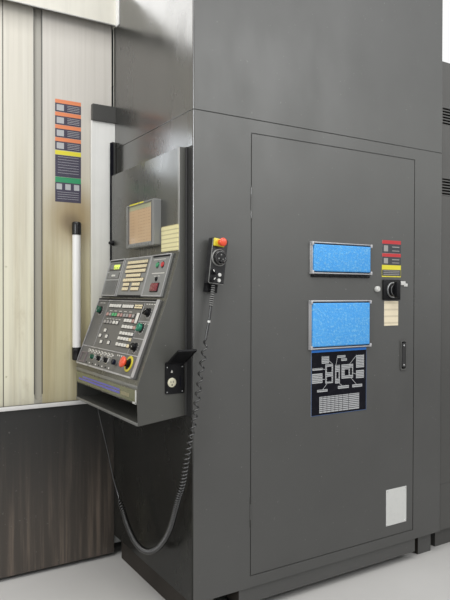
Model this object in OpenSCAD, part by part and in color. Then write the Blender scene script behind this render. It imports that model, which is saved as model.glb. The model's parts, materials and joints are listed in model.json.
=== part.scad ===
// Horizontal machining centre, seen from its operator corner: enclosure with a sliding
// front door, a dark electrical cabinet standing out at the right, a hinged operator
// console on the cabinet's side, a hand pendant on a coiled cord, and the column,
// head, spindle, table and tool magazine inside.
// Lengths in millimetres. X runs to the right along the front, Y into the machine, Z up.

/* [Machine] */
// Overall width of the enclosure, left wall to right wall
machine_w = 3800; // [3400:10:4400]
// Overall height of the enclosure above the floor
machine_h = 2800; // [2640:10:3100]
// Depth of the enclosure behind the front wall
enclosure_d = 2150; // [2100:10:2600]
// Thickness of the sheet metal of covers
sheet_t = 4; // [3:0.5:6]
// Height of the floor pan above the floor
pan_z = 60; // [50:5:90]
// Diameter of a levelling foot
foot_d = 110; // [80:5:140]

/* [Electrical cabinet] */
// Width of the cabinet along the front
cab_w = 1360; // [1300:10:1500]
// How far the cabinet stands out in front of the machine's front wall
cab_d = 782; // [760:2:860]
// Height of the seam between the cabinet and the box above it
seam_z = 1920; // [1905:5:2000]
// Height of the cabinet's lower edge above the floor
cab_z = 104; // [90:2:120]
// Radius of the folded corners
fold_r = 8; // [4:1:14]
// Width of the cabinet door
cab_door_w = 908; // [860:2:920]
// Height of the cabinet door
cab_door_h = 1714; // [1650:2:1720]
// Distance from the cabinet's left edge to the door
cab_door_x = 258; // [240:2:290]
// Height of the door's lower edge above the floor
cab_door_z = 152; // [140:2:170]
// Width of the gap round a door
reveal = 4; // [3:0.5:6]
// Height of the plinth
plinth_h = 66; // [50:2:70]

/* [Front wall] */
// Height of the white ledge above the dark apron
ledge_z = 758; // [720:2:800]
// Height of the header's lower edge
header_z = 2492; // [2440:2:2560]
// How far the header stands out from the door
header_out = 36; // [25:1:60]
// Width of the sliding door leaf
leaf_w = 1040; // [900:10:1060]
// Thickness of the sliding door leaf
leaf_t = 40; // [30:1:50]
// Width of the seal channel pressed into the leaf
channel_w = 35; // [25:1:45]
// Width of the cover beside the cabinet
jamb_w = 115; // [100:1:130]
// Height of the top of that cover
jamb_top = 2043; // [1980:1:2100]
// Length of the door handle's tube between its brackets
handle_h = 635; // [400:5:700]
// Diameter of the handle's tube
handle_d = 38; // [30:1:45]

/* [Console] */
// Distance from the cabinet's front face to the console
con_y = 48; // [46:1:60]
// Gap between the console and the machine's front wall
con_gap = 54; // [46:2:80]
// Thickness of the console's back plate
con_t = 24; // [20:1:30]
// Height of the back plate's upper edge
con_top = 1790; // [1740:2:1840]
// Height where the sloping front begins
slope_top = 1402; // [1380:2:1410]
// Height where the slope changes its angle
slope_mid = 1227; // [1220:1:1240]
// Height where the slope ends at the upright front
slope_low = 920; // [900:2:940]
// Height of the front's lower edge
con_low = 773; // [740:1:790]
// Depth at the change of angle, from the cabinet's face
depth_mid = 81; // [76:1:90]
// Depth of the upright front, from the cabinet's face
depth_low = 197; // [185:1:215]
// Screen width
screen_w = 229; // [210:1:240]
// Screen height
screen_h = 154; // [140:1:160]
// Diameter of the emergency stop's head
estop_d = 42; // [36:1:44]

/* [Pendant] */
// Width of the pendant
pen_w = 67; // [60:1:72]
// Height of the pendant
pen_h = 168; // [160:1:190]
// Thickness of the pendant
pen_t = 36; // [30:1:42]
// Lean of the hanging pendant to the right
pen_lean = 7; // [0:0.1:12]
// Outer diameter of the coiled cord
coil_d = 25; // [20:1:30]

/* [Inside] */
// Height of the spindle axis at rest
spindle_z = 1460; // [1400:10:1560]
// Diameter of the spindle body
spindle_d = 150; // [130:5:180]
// Radial clearance of the spindle in its bore
fit = 0.08; // [0.05:0.01:0.1]
// Side of the square pallet
pallet_w = 630; // [500:10:700]
// Number of tool pockets in the magazine
pockets = 20; // [12:1:24]

/* [Hidden] */
$fn = 48;
right_x = 1900;
left_x = right_x - machine_w;
mid_x = (left_x + right_x) / 2;
back_y = cab_d + enclosure_d;
pen_y = 14;
pen_at = [69, 0, 1283];
dial_at = [-1, 97];
dial_d = 52;
pen_stop_at = [-4, 153];
pen_knob_x = -20;
pen_knob_zs = [42, 13];
pen_cap_x = 9;
pen_cap_zs = [35, 14.5];
relief_x = -2;
relief_l = 82;
front_reach = pen_y + pen_t + 30;
mid_y = (back_y - front_reach) / 2;
roof_z = machine_h - 50;
seam_gap = 3;
leaf_y = cab_d;
leaf_x1 = -10;
leaf_x0 = leaf_x1 - leaf_w;
run = 0.5;
handle_x = leaf_x1 - 178.5;
handle_z = 877;
bracket_h = 58;
hinge_x = -5;
hinge_y = con_y - 5;
hinge_d = 8;
con_y1 = cab_d - con_gap;
con_w = con_y1 - con_y;
layout_w = 680;
plate_x = -6 - con_t;
slope_a = atan2(depth_mid + plate_x, slope_top - slope_mid);
slope_b = atan2(depth_low - depth_mid, slope_mid - slope_low);
spindle_y = 1550;
nose_x = -140;
bed_z = 640;
rail_h = 40;
skin = 2.5;
door_x1 = cab_door_x + cab_door_w;
knuckle_d = 6;
knuckle_h = 30;
divider_v = 226;
front_y1 = cab_d + 56;
rail_z = header_z + 60;
hinge_zs = [cab_door_z + 248, cab_door_z + cab_door_h - 266];
door_lip = 22;
latch_x = door_x1 - 69;
latch_z = 967;
switch_x = door_x1 - 149;
switch_z = 1266;
plinth_xs = [209, 1195];
lock_x = door_x1 - 239;
power_us = [94, 140];
power_v = 48;
power_d = 20;
stop_at = [122, 262];
stop_h = 34;
knob_ats = [[612, 60], [104, 57], [120, 120], [117, 196]];
selector_us = [500, 420, 340];
selector_v = 270;
filters = [[546, 885, 1330, 1464], [541, 882, 1017, 1221]];
filter_bar = 10;
chart_at = [555, 740];
chart_size = [311, 274];
data_at = [992, 199];
data_size = [130, 164];
card_at = [974, 1105];
card_size = [89, 111];
fields_at = [960, 1325];
fields_size = [118, 164];
plug_u = 236;
key_pitch_v = 19.4;
rib_us = [164, 540];
key_v0 = 19.6;
key_vs = [116, 143, 165, 190];
jog_ats = [[469, 148], [432, 173], [506, 173], [470, 199], [386, 197]];
outlet_x = -90;
gland_z = con_low - 11;
mag_x = 420;
mag_z = 1500;
mag_back = 260;
// Cord route: from the pendant down the corner and up into the console
lead_a = [[57, -32, 1201.6], [54, -32, 1180], [49, -32, 1148], [41, -32, 1110], [37.4, -32, 1093]];
coil_pts = [[37, -32, 1092], [32, -32, 1052], [24, -32, 1007], [12, -32, 935], [0, -32, 863],
            [-15, -33, 775], [-28, -30, 721], [-33, -14, 650], [-36, 11, 556], [-39, 38, 498],
            [-41, 64, 437], [-43, 92, 373], [-46, 136, 310], [-50, 196, 255], [-54, 266, 218],
            [-58, 336, 208], [-62, 400, 226], [-66, 458, 270], [-70, 496, 318], [-73, 521, 349],
            [-75, 531, 366]];
lead_b = [[-75, 531.5, 367], [-78, 545, 392], [-87, 562, 440], [-106, 590, 570],
          [-131, 610, 700], [-136, 614, 730], [-136, 614, gland_z - 0.3]];

// Helpers: a box from corner to corner, and round bars along each axis
module box(a, b) {
  translate(a)
    cube([b[0] - a[0], b[1] - a[1], b[2] - a[2]]);
}

module place() {
  translate([-mid_x, -mid_y, 0])
    children();
}

module bar_x(x0, x1, y, z, d) {
  translate([x0, y, z])
    rotate([0, 90, 0])
      cylinder(h = x1 - x0, d = d);
}

module bar_y(x, y0, y1, z, d) {
  translate([x, y1, z])
    rotate([90, 0, 0])
      cylinder(h = y1 - y0, d = d);
}

module bar_z(x, y, z0, z1, d) {
  translate([x, y, z0])
    cylinder(h = z1 - z0, d = d);
}

// Rounded rectangle drawn from squares and circles
module round_rect(w, h, r) {
  translate([r, 0])
    square([w - 2 * r, h]);
  translate([0, r])
    square([w, h - 2 * r]);
  for (x = [r, w - r], y = [r, h - r])
    translate([x, y])
      circle(r = r);
}

// Rounded plate standing in the plane of the front, from y0 to y1
module plate_y(x0, x1, y0, y1, z0, z1, r) {
  translate([x0, y1, z0])
    rotate([90, 0, 0])
      linear_extrude(height = y1 - y0)
        round_rect(x1 - x0, z1 - z0, r);
}

// Rounded plate standing in the plane of the side, from x0 to x1
module side_plate(x0, x1, y0, y1, z0, z1, r) {
  translate([x0, y0, z0])
    rotate([90, 0, 90])
      linear_extrude(height = x1 - x0)
        round_rect(y1 - y0, z1 - z0, r);
}

// Box with folded upright corners
module folded(a, b, r) {
  translate(a)
    linear_extrude(height = b[2] - a[2])
      round_rect(b[0] - a[0], b[1] - a[1], r);
}

// Place along the control faces: laid out for one width and spread with the console
function cu(u) = u * con_w / layout_w;

// Local frames of the two sloping faces: x along the console, y down the slope, z outward
module on_upper() {
  translate([plate_x, con_y, slope_top])
    rotate([0, slope_a, 0])
      rotate([-90, 0, 90])
        children();
}

module on_lower() {
  translate([-depth_mid, con_y, slope_mid])
    rotate([0, slope_b, 0])
      rotate([-90, 0, 90])
        children();
}

// Local frame of the hanging pendant: x to its right, y into the machine, z up along it
module on_pendant() {
  translate(pen_at)
    rotate([0, pen_lean, 0])
      children();
}

// Machine base
module machine_base() {
  my = back_y - mag_back;
  color("dimgray")
    place() {
      difference() {
        folded([left_x + sheet_t, cab_d + sheet_t, pan_z],
               [right_x - sheet_t, back_y - sheet_t, pan_z + 60], fold_r);
        box([left_x + 40, cab_d + 40, pan_z + 8], [right_x - 40, back_y - 40, pan_z + 61]);
      }
      difference() {
        union() {
          box([-1050, spindle_y - 330, pan_z + 8], [200, spindle_y + 330, bed_z]);
          box([150, 950, pan_z + 8], [1250, 2600, bed_z + 100]);
        }
        for (y = [1150 : 300 : 2350])
          box([1150, y, 200], [1251, y + 160, 560]);
        box([-1051, spindle_y - 150, bed_z - 80], [-100, spindle_y + 150, bed_z + 1]);
      }
      for (y = [spindle_y - 250, spindle_y + 210])
        box([-1030, y, bed_z], [120, y + 40, bed_z + rail_h]);
      for (x = [300, 1060])
        box([x, 970, bed_z + 100], [x + 50, 2580, bed_z + 100 + rail_h]);
      difference() {
        box([mag_x + 80, my - 70, pan_z + 8], [mag_x + 160, my + 70, mag_z + 90]);
        for (z = [300, 700, 1100])
          box([mag_x + 90, my - 45, z], [mag_x + 161, my + 45, z + 280]);
      }
      bar_x(mag_x - 40, mag_x + 80, my, mag_z, 60);
    }
}

// Levelling feet under the base and under the cabinet
module leveling_feet() {
  color("black")
    place() {
      for (x = [left_x + 200, -900, 0, 900, right_x - 200], y = [cab_d + 160, back_y - 200]) {
        bar_z(x, y, 0, 22, foot_d);
        bar_z(x, y, 0, pan_z, 30);
      }
      for (x = [270, 1150], y = [120, cab_d - 150]) {
        bar_z(x, y, 0, 14, 80);
        bar_z(x, y, 0, cab_z - plinth_h, 24);
      }
    }
}

// Side and back walls of the enclosure with the wall behind the cabinet
module enclosure_walls() {
  color("ivory")
    place() {
      difference() {
        folded([left_x, cab_d, pan_z], [right_x, back_y, roof_z], fold_r);
        folded([left_x + sheet_t, cab_d - 50, pan_z - 1],
               [right_x - sheet_t, back_y - sheet_t, roof_z + 1], fold_r - sheet_t / 2);
        box([left_x - 1, cab_d - 1, pan_z - 1], [right_x + 1, front_y1, roof_z + 1]);
      }
      difference() {
        box([0, cab_d, pan_z + 60], [right_x, cab_d + sheet_t, roof_z]);
        box([60, cab_d - 1, 500], [cab_w - 100, cab_d + sheet_t + 1, 700]);
      }
      box([right_x - sheet_t, cab_d, pan_z + 60], [right_x, front_y1 + 1, roof_z]);
      difference() {
        box([left_x + sheet_t - 1, front_y1, ledge_z], [leaf_x0 + 40, front_y1 + 30, roof_z]);
        box([left_x + 2 * sheet_t, front_y1 + sheet_t, ledge_z + sheet_t],
            [leaf_x0 + 40 - sheet_t, front_y1 + 31, roof_z - sheet_t]);
      }
    }
}

// Roof
module roof_panel() {
  color("ivory")
    place()
      difference() {
        union() {
          folded([left_x, front_y1, roof_z], [right_x, back_y, machine_h], fold_r);
          box([0, cab_d, roof_z], [right_x, front_y1 + fold_r, machine_h]);
          box([left_x, front_y1, roof_z], [0, front_y1 + fold_r, machine_h]);
        }
        box([left_x + 30, front_y1 + 30, roof_z - 1], [right_x - 30, back_y - 30, machine_h - sheet_t]);
      }
}

// Dark apron under the door, with the white ledge as its folded top
module front_apron() {
  color([0.16, 0.16, 0.16])
    place() {
      box([left_x, cab_d - 7, 20], [0, cab_d - 7 + sheet_t, ledge_z - 18]);
      box([left_x, cab_d - 7, 20], [0, cab_d + sheet_t, 24]);
      for (x = [left_x + 200 : 400 : -100])
        box([x, cab_d - 7, 24], [x + sheet_t, cab_d + sheet_t, ledge_z - 18]);
      difference() {
        box([left_x, cab_d - 17, ledge_z - 18], [0, front_y1 + 30, ledge_z]);
        box([left_x - 1, cab_d - 7 + sheet_t, ledge_z - 19], [1, front_y1 + 26, ledge_z - sheet_t]);
        box([left_x - 1, front_y1, ledge_z - 19], [left_x + sheet_t, front_y1 + 31, ledge_z + 1]);
      }
    }
}

// Header over the door
module door_header() {
  y0 = cab_d - header_out;
  color("ivory")
    place() {
      difference() {
        box([left_x, y0, header_z], [0, front_y1, machine_h]);
        box([left_x + sheet_t, y0 + sheet_t, header_z - 1],
            [-sheet_t, front_y1 - sheet_t, machine_h - sheet_t]);
      }
      box([left_x + sheet_t, cab_d - 12, rail_z], [-sheet_t, cab_d - 4, rail_z + 30]);
      box([left_x + sheet_t, y0 + sheet_t, rail_z], [-sheet_t, cab_d - 12, rail_z + sheet_t]);
    }
}

// Cover beside the cabinet, over the leaf's closing edge
module jamb_cover() {
  color("whitesmoke")
    place()
      difference() {
        box([-jamb_w, cab_d - 20, ledge_z], [0, cab_d - 6, jamb_top]);
        box([-jamb_w + 2, cab_d - 18, ledge_z + 2], [-2, cab_d - 5, jamb_top - 2]);
      }
}

// Dark duct block over the cover and the black bar on it
module jamb_trim() {
  color([0.2, 0.2, 0.2])
    place() {
      box([-jamb_w + 3, cab_d - 30, jamb_top], [0, cab_d - 6, jamb_top + 75]);
      box([-20, cab_d - 32, ledge_z + 20], [-3, cab_d - 20, jamb_top - 90]);
      box([-20, cab_d - 22, jamb_top - 110], [0, cab_d - 20, jamb_top - 90]);
    }
}

// Guard at the right of the cabinet, cut off by the picture's edge
module right_guard() {
  g0 = cab_w + 6;
  y0 = 12;
  z0 = cab_z - 3;
  z1 = 2368;
  color([0.33, 0.33, 0.33])
    place() {
      difference() {
        folded([g0, y0, z0], [right_x, cab_d, z1], fold_r);
        box([g0 + sheet_t, y0 + sheet_t, z0 + sheet_t], [right_x - sheet_t, cab_d + 1, z1 - sheet_t]);
        for (z = [1723, 2063])
          box([g0 + 8, y0 - 1, z], [g0 + 330, y0 + sheet_t + 1, z + 84]);
        box([g0 - 1, y0 - 1, 323], [right_x + 1, y0 + 1.5, 326]);
      }
      for (z = [1723, 2063]) {
        for (k = [0 : 5])
          box([g0 + 7, y0 + 5, z + 2 + 14 * k], [g0 + 331, y0 + 14, z + 8 + 14 * k]);
        difference() {
          box([g0 + sheet_t, y0 + sheet_t, z - 2], [g0 + 336, y0 + 18, z + 86]);
          box([g0 + 8, y0 - 1, z], [g0 + 330, y0 + 19, z + 84]);
        }
      }
      for (z = [200, 1700])
        box([cab_w, 100, z], [g0, 104, z + 60]);
      difference() {
        box([g0 + 30, 60, 0], [right_x - 30, cab_d - 60, z0]);
        box([g0 + 34, 64, -1], [right_x - 34, cab_d - 64, z0 + 1]);
      }
    }
}

// Lower electrical cabinet: folded box with a door opening and a cable opening at the side
module cabinet_shell() {
  z1 = cab_door_z + cab_door_h;
  color([0.36, 0.36, 0.35])
    place() {
      difference() {
        folded([0, 0, cab_z], [cab_w, cab_d, seam_z], fold_r);
        folded([sheet_t, sheet_t, cab_z + sheet_t],
               [cab_w - sheet_t, cab_d - sheet_t, seam_z - sheet_t], fold_r - sheet_t / 2);
        box([cab_door_x - reveal, -1, cab_door_z - reveal],
            [door_x1 + reveal, sheet_t + 1, z1 + reveal]);
        box([-1, con_y + 70, 900], [sheet_t + 1, con_y1 - 70, 1700]);
        box([60, cab_d - 30, 500], [cab_w - 100, cab_d + 1, 700]);
        for (z = hinge_zs)
          box([cab_door_x - reveal - 2, -1, z - knuckle_h - 1],
              [cab_door_x - reveal + 1, sheet_t + 1, z + knuckle_h + 1]);
      }
      difference() {
        box([cab_door_x - reveal - 10, sheet_t, cab_door_z - reveal - 10],
            [door_x1 + reveal + 10, sheet_t + 3, z1 + reveal + 10]);
        box([cab_door_x + door_lip, sheet_t - 1, cab_door_z + door_lip],
            [door_x1 - door_lip, sheet_t + 4, z1 - door_lip]);
      }
      for (z = hinge_zs)
        translate([cab_door_x - reveal / 2, -0.5, z]) {
          bar_z(0, 0, -2 * knuckle_h, -knuckle_h - run, knuckle_d);
          bar_z(0, 0, knuckle_h + run, 2 * knuckle_h, knuckle_d);
          bar_z(0, 0, -2 * knuckle_h, 2 * knuckle_h, knuckle_d / 2);
        }
    }
}

// Box on top of the cabinet
module cabinet_top_box() {
  color([0.38, 0.38, 0.37])
    place() {
      difference() {
        folded([0, 0, seam_z + seam_gap], [cab_w, cab_d, machine_h], fold_r);
        folded([sheet_t, sheet_t, seam_z + seam_gap + sheet_t],
               [cab_w - sheet_t, cab_d - sheet_t, machine_h - sheet_t], fold_r - sheet_t / 2);
        for (k = [0 : 9])
          box([200 + 90 * k, 250, machine_h - sheet_t - 1], [240 + 90 * k, 560, machine_h + 1]);
      }
      folded([3, 3, seam_z], [cab_w - 3, cab_d - 3, seam_z + seam_gap], fold_r - 2);
    }
}

// Plinth under the cabinet
module cabinet_plinth() {
  color([0.36, 0.36, 0.35])
    place() {
      difference() {
        box([plinth_xs[0], 10, cab_z - plinth_h], [plinth_xs[1], cab_d - 10, cab_z]);
        box([plinth_xs[0] + sheet_t, 10 + sheet_t, cab_z - plinth_h + sheet_t],
            [plinth_xs[1] - sheet_t, cab_d - 10 - sheet_t, cab_z + 1]);
      }
      for (x = [24, 1250])
        difference() {
          box([x, 40, 0], [x + 90, cab_d - 40, cab_z]);
          box([x + sheet_t, 40 + sheet_t, -1], [x + 90 - sheet_t, cab_d - 40 - sheet_t, cab_z + 1]);
        }
    }
}

// Black hinge strip and gasket between console and cabinet
module hinge_strip() {
  color([0.05, 0.05, 0.05])
    place() {
      box([-3, 4, con_low + 22], [0, hinge_y + 2, con_top]);
      bar_z(hinge_x, hinge_y, con_low + 24, con_top, hinge_d);
      difference() {
        box([-5.5, con_y + 50, 880], [0, con_y1 - 50, 1720]);
        box([-6, con_y + 70, 900], [1, con_y1 - 70, 1700]);
      }
    }
}

// Mounting plate inside the cabinet with drives, transformer and switchgear
module cabinet_backplate() {
  z0 = cab_z + 66;
  z1 = seam_z - 80;
  color([0.75, 0.75, 0.72])
    place() {
      box([80, cab_d - 60, z0], [cab_w - 80, cab_d - 56, z1]);
      for (x = [90, cab_w - 130])
        box([x, cab_d - 56, z0], [x + 40, cab_d - sheet_t, z1]);
      for (k = [0 : 4])
        difference() {
          box([130 + 170 * k, cab_d - 330, 1180], [270 + 170 * k, cab_d - 60, 1600]);
          for (z = [1230 : 60 : 1530])
            box([150 + 170 * k, cab_d - 331, z], [250 + 170 * k, cab_d - 320, z + 20]);
        }
      for (k = [0 : 7])
        box([140 + 120 * k, cab_d - 180, 850], [230 + 120 * k, cab_d - 60, 990]);
      for (z = [760, 1080, 1680])
        box([120, cab_d - 140, z], [cab_w - 160, cab_d - 60, z + 50]);
      box([200, cab_d - 360, 220], [560, cab_d - 60, 560]);
      box([720, cab_d - 300, 220], [1060, cab_d - 60, 620]);
    }
}

// Holder of the pendant on the cabinet's front
module pendant_bracket() {
  color([0.08, 0.08, 0.08])
    place()
      on_pendant() {
        box([-pen_w / 2 + 10, -pen_y, -30], [pen_w / 2 - 8, 0, pen_h - 24]);
        box([-pen_w / 2 + 10, -pen_y - 6, -30], [pen_w / 2 - 8, -pen_y, -0.2]);
      }
}

// Hand pendant
module pendant_body() {
  face = -pen_y - pen_t;
  color([0.13, 0.13, 0.13])
    place()
      on_pendant() {
        translate([-pen_w / 2, -pen_y, 0])
          rotate([90, 0, 0])
            linear_extrude(height = pen_t)
              round_rect(pen_w, pen_h, 7);
        bar_y(dial_at[0], face - 6, face, dial_at[1], dial_d + 10);
        for (z = pen_cap_zs)
          bar_y(pen_cap_x, face - 5, face, z, 13);
        difference() {
          box([-pen_w / 2 + 2, face - 6, pen_stop_at[1] - 16], [pen_stop_at[0] + 18, face, pen_h - 2]);
          bar_y(pen_stop_at[0], face - 7, face, pen_stop_at[1], 24 + 2 * fit);
        }
        bar_z(relief_x, -pen_y - 18, -relief_l, 0, 11);
        for (k = [0 : 9])
          bar_z(relief_x, -pen_y - 18, -relief_l + 3 + 7.5 * k, -relief_l + 7 + 7.5 * k, 15);
      }
}

// Coiled cord: smooth route through its points, swept as a tube
function spline(p, i, t) =
  let (a = p[max(i - 1, 0)], b = p[i], c = p[i + 1], d = p[min(i + 2, len(p) - 1)])
  0.5 * ((2 * b) + (c - a) * t + (2 * a - 5 * b + 4 * c - d) * t * t
         + (3 * b - a - 3 * c + d) * t * t * t);

function route(p, n) = concat(
  [for (i = [0 : len(p) - 2], k = [0 : n - 1]) spline(p, i, k / n)], [p[len(p) - 1]]);

module tube(p, d, sides) {
  m = len(p);
  rings = [for (i = [0 : m - 1])
    let (t = p[min(i + 1, m - 1)] - p[max(i - 1, 0)], u = t / norm(t),
         b = cross(u, [1, 0, 0]) / norm(cross(u, [1, 0, 0])), n = cross(b, u))
    for (k = [0 : sides - 1])
      p[i] + d / 2 * (cos(360 * k / sides) * n + sin(360 * k / sides) * b)];
  walls = [for (i = [0 : m - 2], k = [0 : sides - 1])
    [i * sides + k, (i + 1) * sides + k, (i + 1) * sides + (k + 1) % sides, i * sides + (k + 1) % sides]];
  ends = [[for (k = [0 : sides - 1]) k], [for (k = [sides - 1 : -1 : 0]) (m - 1) * sides + k]];
  polyhedron(points = rings, faces = concat(walls, ends), convexity = 6);
}

module cord_lead() {
  color([0.07, 0.07, 0.07])
    place() {
      tube(route(lead_a, 3), 10, 10);
      tube(route(lead_b, 4), 9, 10);
    }
}

module cord_coil() {
  color([0.07, 0.07, 0.07])
    place()
      tube(route(coil_pts, 4), coil_d, 10);
}

// Sliding door leaf with the seal channel, the groove line and the window opening
module front_door() {
  top = header_z + 20;
  ch_x = leaf_x1 - 361;
  color([0.87, 0.85, 0.78])
    place() {
      difference() {
        box([leaf_x0, leaf_y, ledge_z + run], [leaf_x1, leaf_y + leaf_t, top]);
        box([leaf_x0 + skin, leaf_y + 14, ledge_z + 8], [leaf_x1 - skin, leaf_y + leaf_t + 1, top - skin]);
        box([ch_x, leaf_y - 1, ledge_z + 34], [ch_x + channel_w, leaf_y + 9, top + 1]);
        bar_y(ch_x + channel_w / 2, leaf_y - 1, leaf_y + 9, ledge_z + 34, channel_w);
        box([ch_x - 133, leaf_y - 1, ledge_z], [ch_x - 130, leaf_y + 3, top + 1]);
        for (z = [886, 1362])
          bar_y(ch_x - 120, leaf_y - 1, leaf_y + 6, z, 7);
        plate_y(leaf_x1 - 950, leaf_x1 - 550, leaf_y - 5, leaf_y + 15, 1250, 1850, 30);
      }
      for (z = [1000, 2050, 2300])
        box([leaf_x0 + skin, leaf_y + 13, z], [leaf_x1 - skin, leaf_y + leaf_t - 2, z + 3]);
      for (x = [leaf_x0 + 120, leaf_x1 - 180]) {
        box([x, leaf_y, top - 20], [x + 60, leaf_y + 8, rail_z + 40]);
        box([x, leaf_y - 14, rail_z + 30 + run], [x + 60, leaf_y + 8, rail_z + 40]);
      }
    }
}

// Window pane of the sliding door
module door_window() {
  color([0.55, 0.62, 0.6])
    place()
      plate_y(leaf_x1 - 970, leaf_x1 - 530, leaf_y + 14, leaf_y + 22, 1230, 1870, 30);
}

// Tube handle with its two end brackets
module door_handle() {
  h1 = handle_z + handle_h;
  hy = leaf_y - 29;
  color("whitesmoke")
    place() {
      bar_z(handle_x, hy, handle_z, h1, handle_d);
      for (z = [handle_z - bracket_h, h1]) {
        bar_z(handle_x, hy, z, z + bracket_h, handle_d + 5);
        bar_y(handle_x, hy, leaf_y, z + bracket_h / 2, 30);
      }
    }
}

// Cabinet door: folded pan with the two vents and the recess of the latch
module cabinet_door() {
  y1 = 24;
  z1 = cab_door_z + cab_door_h;
  color([0.37, 0.37, 0.36])
    place()
      difference() {
        union() {
          box([cab_door_x, 0, cab_door_z], [door_x1, skin, z1]);
          box([cab_door_x + 30, skin, cab_door_z + 30], [door_x1 - 30, y1, z1 - 30]);
          plate_y(latch_x - 20, latch_x + 20, -5, 0, latch_z - 69, latch_z + 70, 8);
          for (z = hinge_zs)
            bar_z(cab_door_x - reveal / 2, -0.5, z - knuckle_h, z + knuckle_h, knuckle_d);
        }
        box([cab_door_x + 30 + skin, skin, cab_door_z + 30 + skin],
            [door_x1 - 30 - skin, y1 + 1, z1 - 30 - skin]);
        for (k = [0 : 6]) {
          box([580, -1, 1350 + 14 * k], [850, skin + 1, 1357 + 14 * k]);
          box([580, -1, 1040 + 22 * k], [850, skin + 1, 1050 + 22 * k]);
        }
        plate_y(latch_x - 14, latch_x + 14, -6, skin + 1, latch_z - 62, latch_z + 63, 8);
        bar_x(latch_x - 18, latch_x + 18, -3, latch_z + 54, 3.4 + 2 * fit);
        bar_y(switch_x, -1, skin + 1, switch_z, 34);
        for (z = hinge_zs) {
          bar_z(cab_door_x - reveal / 2, -0.5, z - knuckle_h - 1, z + knuckle_h + 1,
                knuckle_d / 2 + 2 * fit);
          for (s = [-2 * knuckle_h - 1, knuckle_h])
            box([cab_door_x - 1, -1, z + s], [cab_door_x + 2, skin + 1, z + s + knuckle_h + 1]);
        }
      }
}

// Frames of the two filters with their corner clips
module filter_frames() {
  color([0.75, 0.76, 0.76])
    place()
      for (f = filters) {
        difference() {
          box([f[0], -4, f[2]], [f[1], 0, f[3]]);
          box([f[0] + filter_bar, -5, f[2] + filter_bar], [f[1] - filter_bar, 1, f[3] - filter_bar]);
        }
        for (x = [f[0], f[1] - 9], z = [f[2], f[3] - 16])
          box([x, -19, z], [x + 9, -4, z + 16]);
      }
}

// Filter pads
module filter_pads() {
  color([0.25, 0.55, 0.85])
    place()
      for (f = filters)
        plate_y(f[0] + filter_bar, f[1] - filter_bar, -18, 0, f[2] + filter_bar + 1, f[3] - filter_bar - 1, 5);
}

// Thin plates on the cabinet door: chart, data plate, paper tag and colour fields
module flat_plate(at, size, t) {
  box([at[0], -t, at[1]], [at[0] + size[0], 0, at[1] + size[1]]);
}

module door_plates() {
  color([0.85, 0.85, 0.83])
    place() {
      flat_plate(chart_at, chart_size, 1.5);
      flat_plate(data_at, data_size, 1.5);
      flat_plate(card_at, card_size, 1);
      flat_plate(fields_at, fields_size, 1);
    }
}

// Plate behind the main switch
module breaker_plate() {
  color([0.1, 0.1, 0.1])
    place()
      difference() {
        plate_y(switch_x - 54, switch_x + 54, -6, 0, switch_z - 45, switch_z + 46, 6);
        bar_y(switch_x, -7, 1, switch_z, 20 + 2 * fit);
      }
}

// Rotary handle of the main switch
module breaker_handle() {
  color([0.07, 0.07, 0.07])
    place() {
      bar_y(switch_x, -28, -6 - run, switch_z, 62);
      bar_y(switch_x, -28, 40, switch_z, 20);
      plate_y(switch_x - 12, switch_x + 12, -50, -28, switch_z - 30, switch_z + 34, 8);
    }
}

// Lift latch of the cabinet door
module door_latch() {
  color([0.06, 0.06, 0.06])
    place() {
      bar_x(latch_x - 17, latch_x + 17, -3, latch_z + 54, 3.4);
      plate_y(latch_x - 11, latch_x + 11, -6, -1, latch_z - 45, latch_z + 58, 5);
      intersection() {
        translate([latch_x, -1, latch_z - 45])
          rotate([90, 0, 0])
            cylinder(h = 5, d = 22);
        box([latch_x - 11, -6, latch_z - 60], [latch_x + 11, -1, latch_z - 40]);
      }
    }
}

// White lock knob
module lock_knob() {
  color("whitesmoke")
    place() {
      bar_y(lock_x, -16, -run, switch_z + 4, 26);
      box([lock_x - 3, -22, switch_z - 7], [lock_x + 3, -16, switch_z + 15]);
    }
}

// Console: back plate and wedge with its shelf
module console_profile(t) {
  polygon([[plate_x + t, con_top - t], [-6 - t, con_top - t], [-6 - t, con_low + 22 + t],
           [-depth_low + t, con_low + t], [-depth_low + t, slope_low - t / 3],
           [-depth_mid + t, slope_mid - t / 3], [plate_x + t, slope_top]]);
}

module console_case() {
  color([0.34, 0.34, 0.33])
    place() {
      difference() {
        translate([0, con_y1, 0])
          rotate([90, 0, 0])
            linear_extrude(height = con_w)
              console_profile(0);
        difference() {
          translate([0, con_y1 - 3, 0])
            rotate([90, 0, 0])
              linear_extrude(height = con_w - 6)
                console_profile(3);
          box([-300, con_y, 850], [0, con_y1, 853]);
          box([-24, con_y, 700], [0, con_y1, 853]);
          box([-300, con_y, 700], [0, con_y1, con_low + 12]);
          box([-300, con_y, 1395], [0, con_y1, 1398]);
        }
        box([-depth_low - 1, con_y + 8, con_low + 12], [-depth_low + 4, con_y1 - 8, 850]);
        box([-12, con_y + 90, 920], [-5, con_y1 - 90, 1680]);
      }
      bar_z(-136, 614, gland_z, con_low + 12, 24);
    }
}

// Monitor housing with the row of soft keys
module monitor_housing() {
  y0 = con_y + 156;
  x0 = plate_x - 32;
  color([0.55, 0.55, 0.56])
    place() {
      difference() {
        side_plate(x0, plate_x, y0, y0 + 272, 1438, 1618, 5);
        box([x0 - 1, y0 + 22, 1455], [x0 + 8, y0 + 22 + screen_w, 1455 + screen_h]);
      }
      for (k = [0 : 9])
        box([x0 - 2, y0 + 24 + 23 * k, 1442], [x0, y0 + 40 + 23 * k, 1451]);
    }
}

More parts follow.
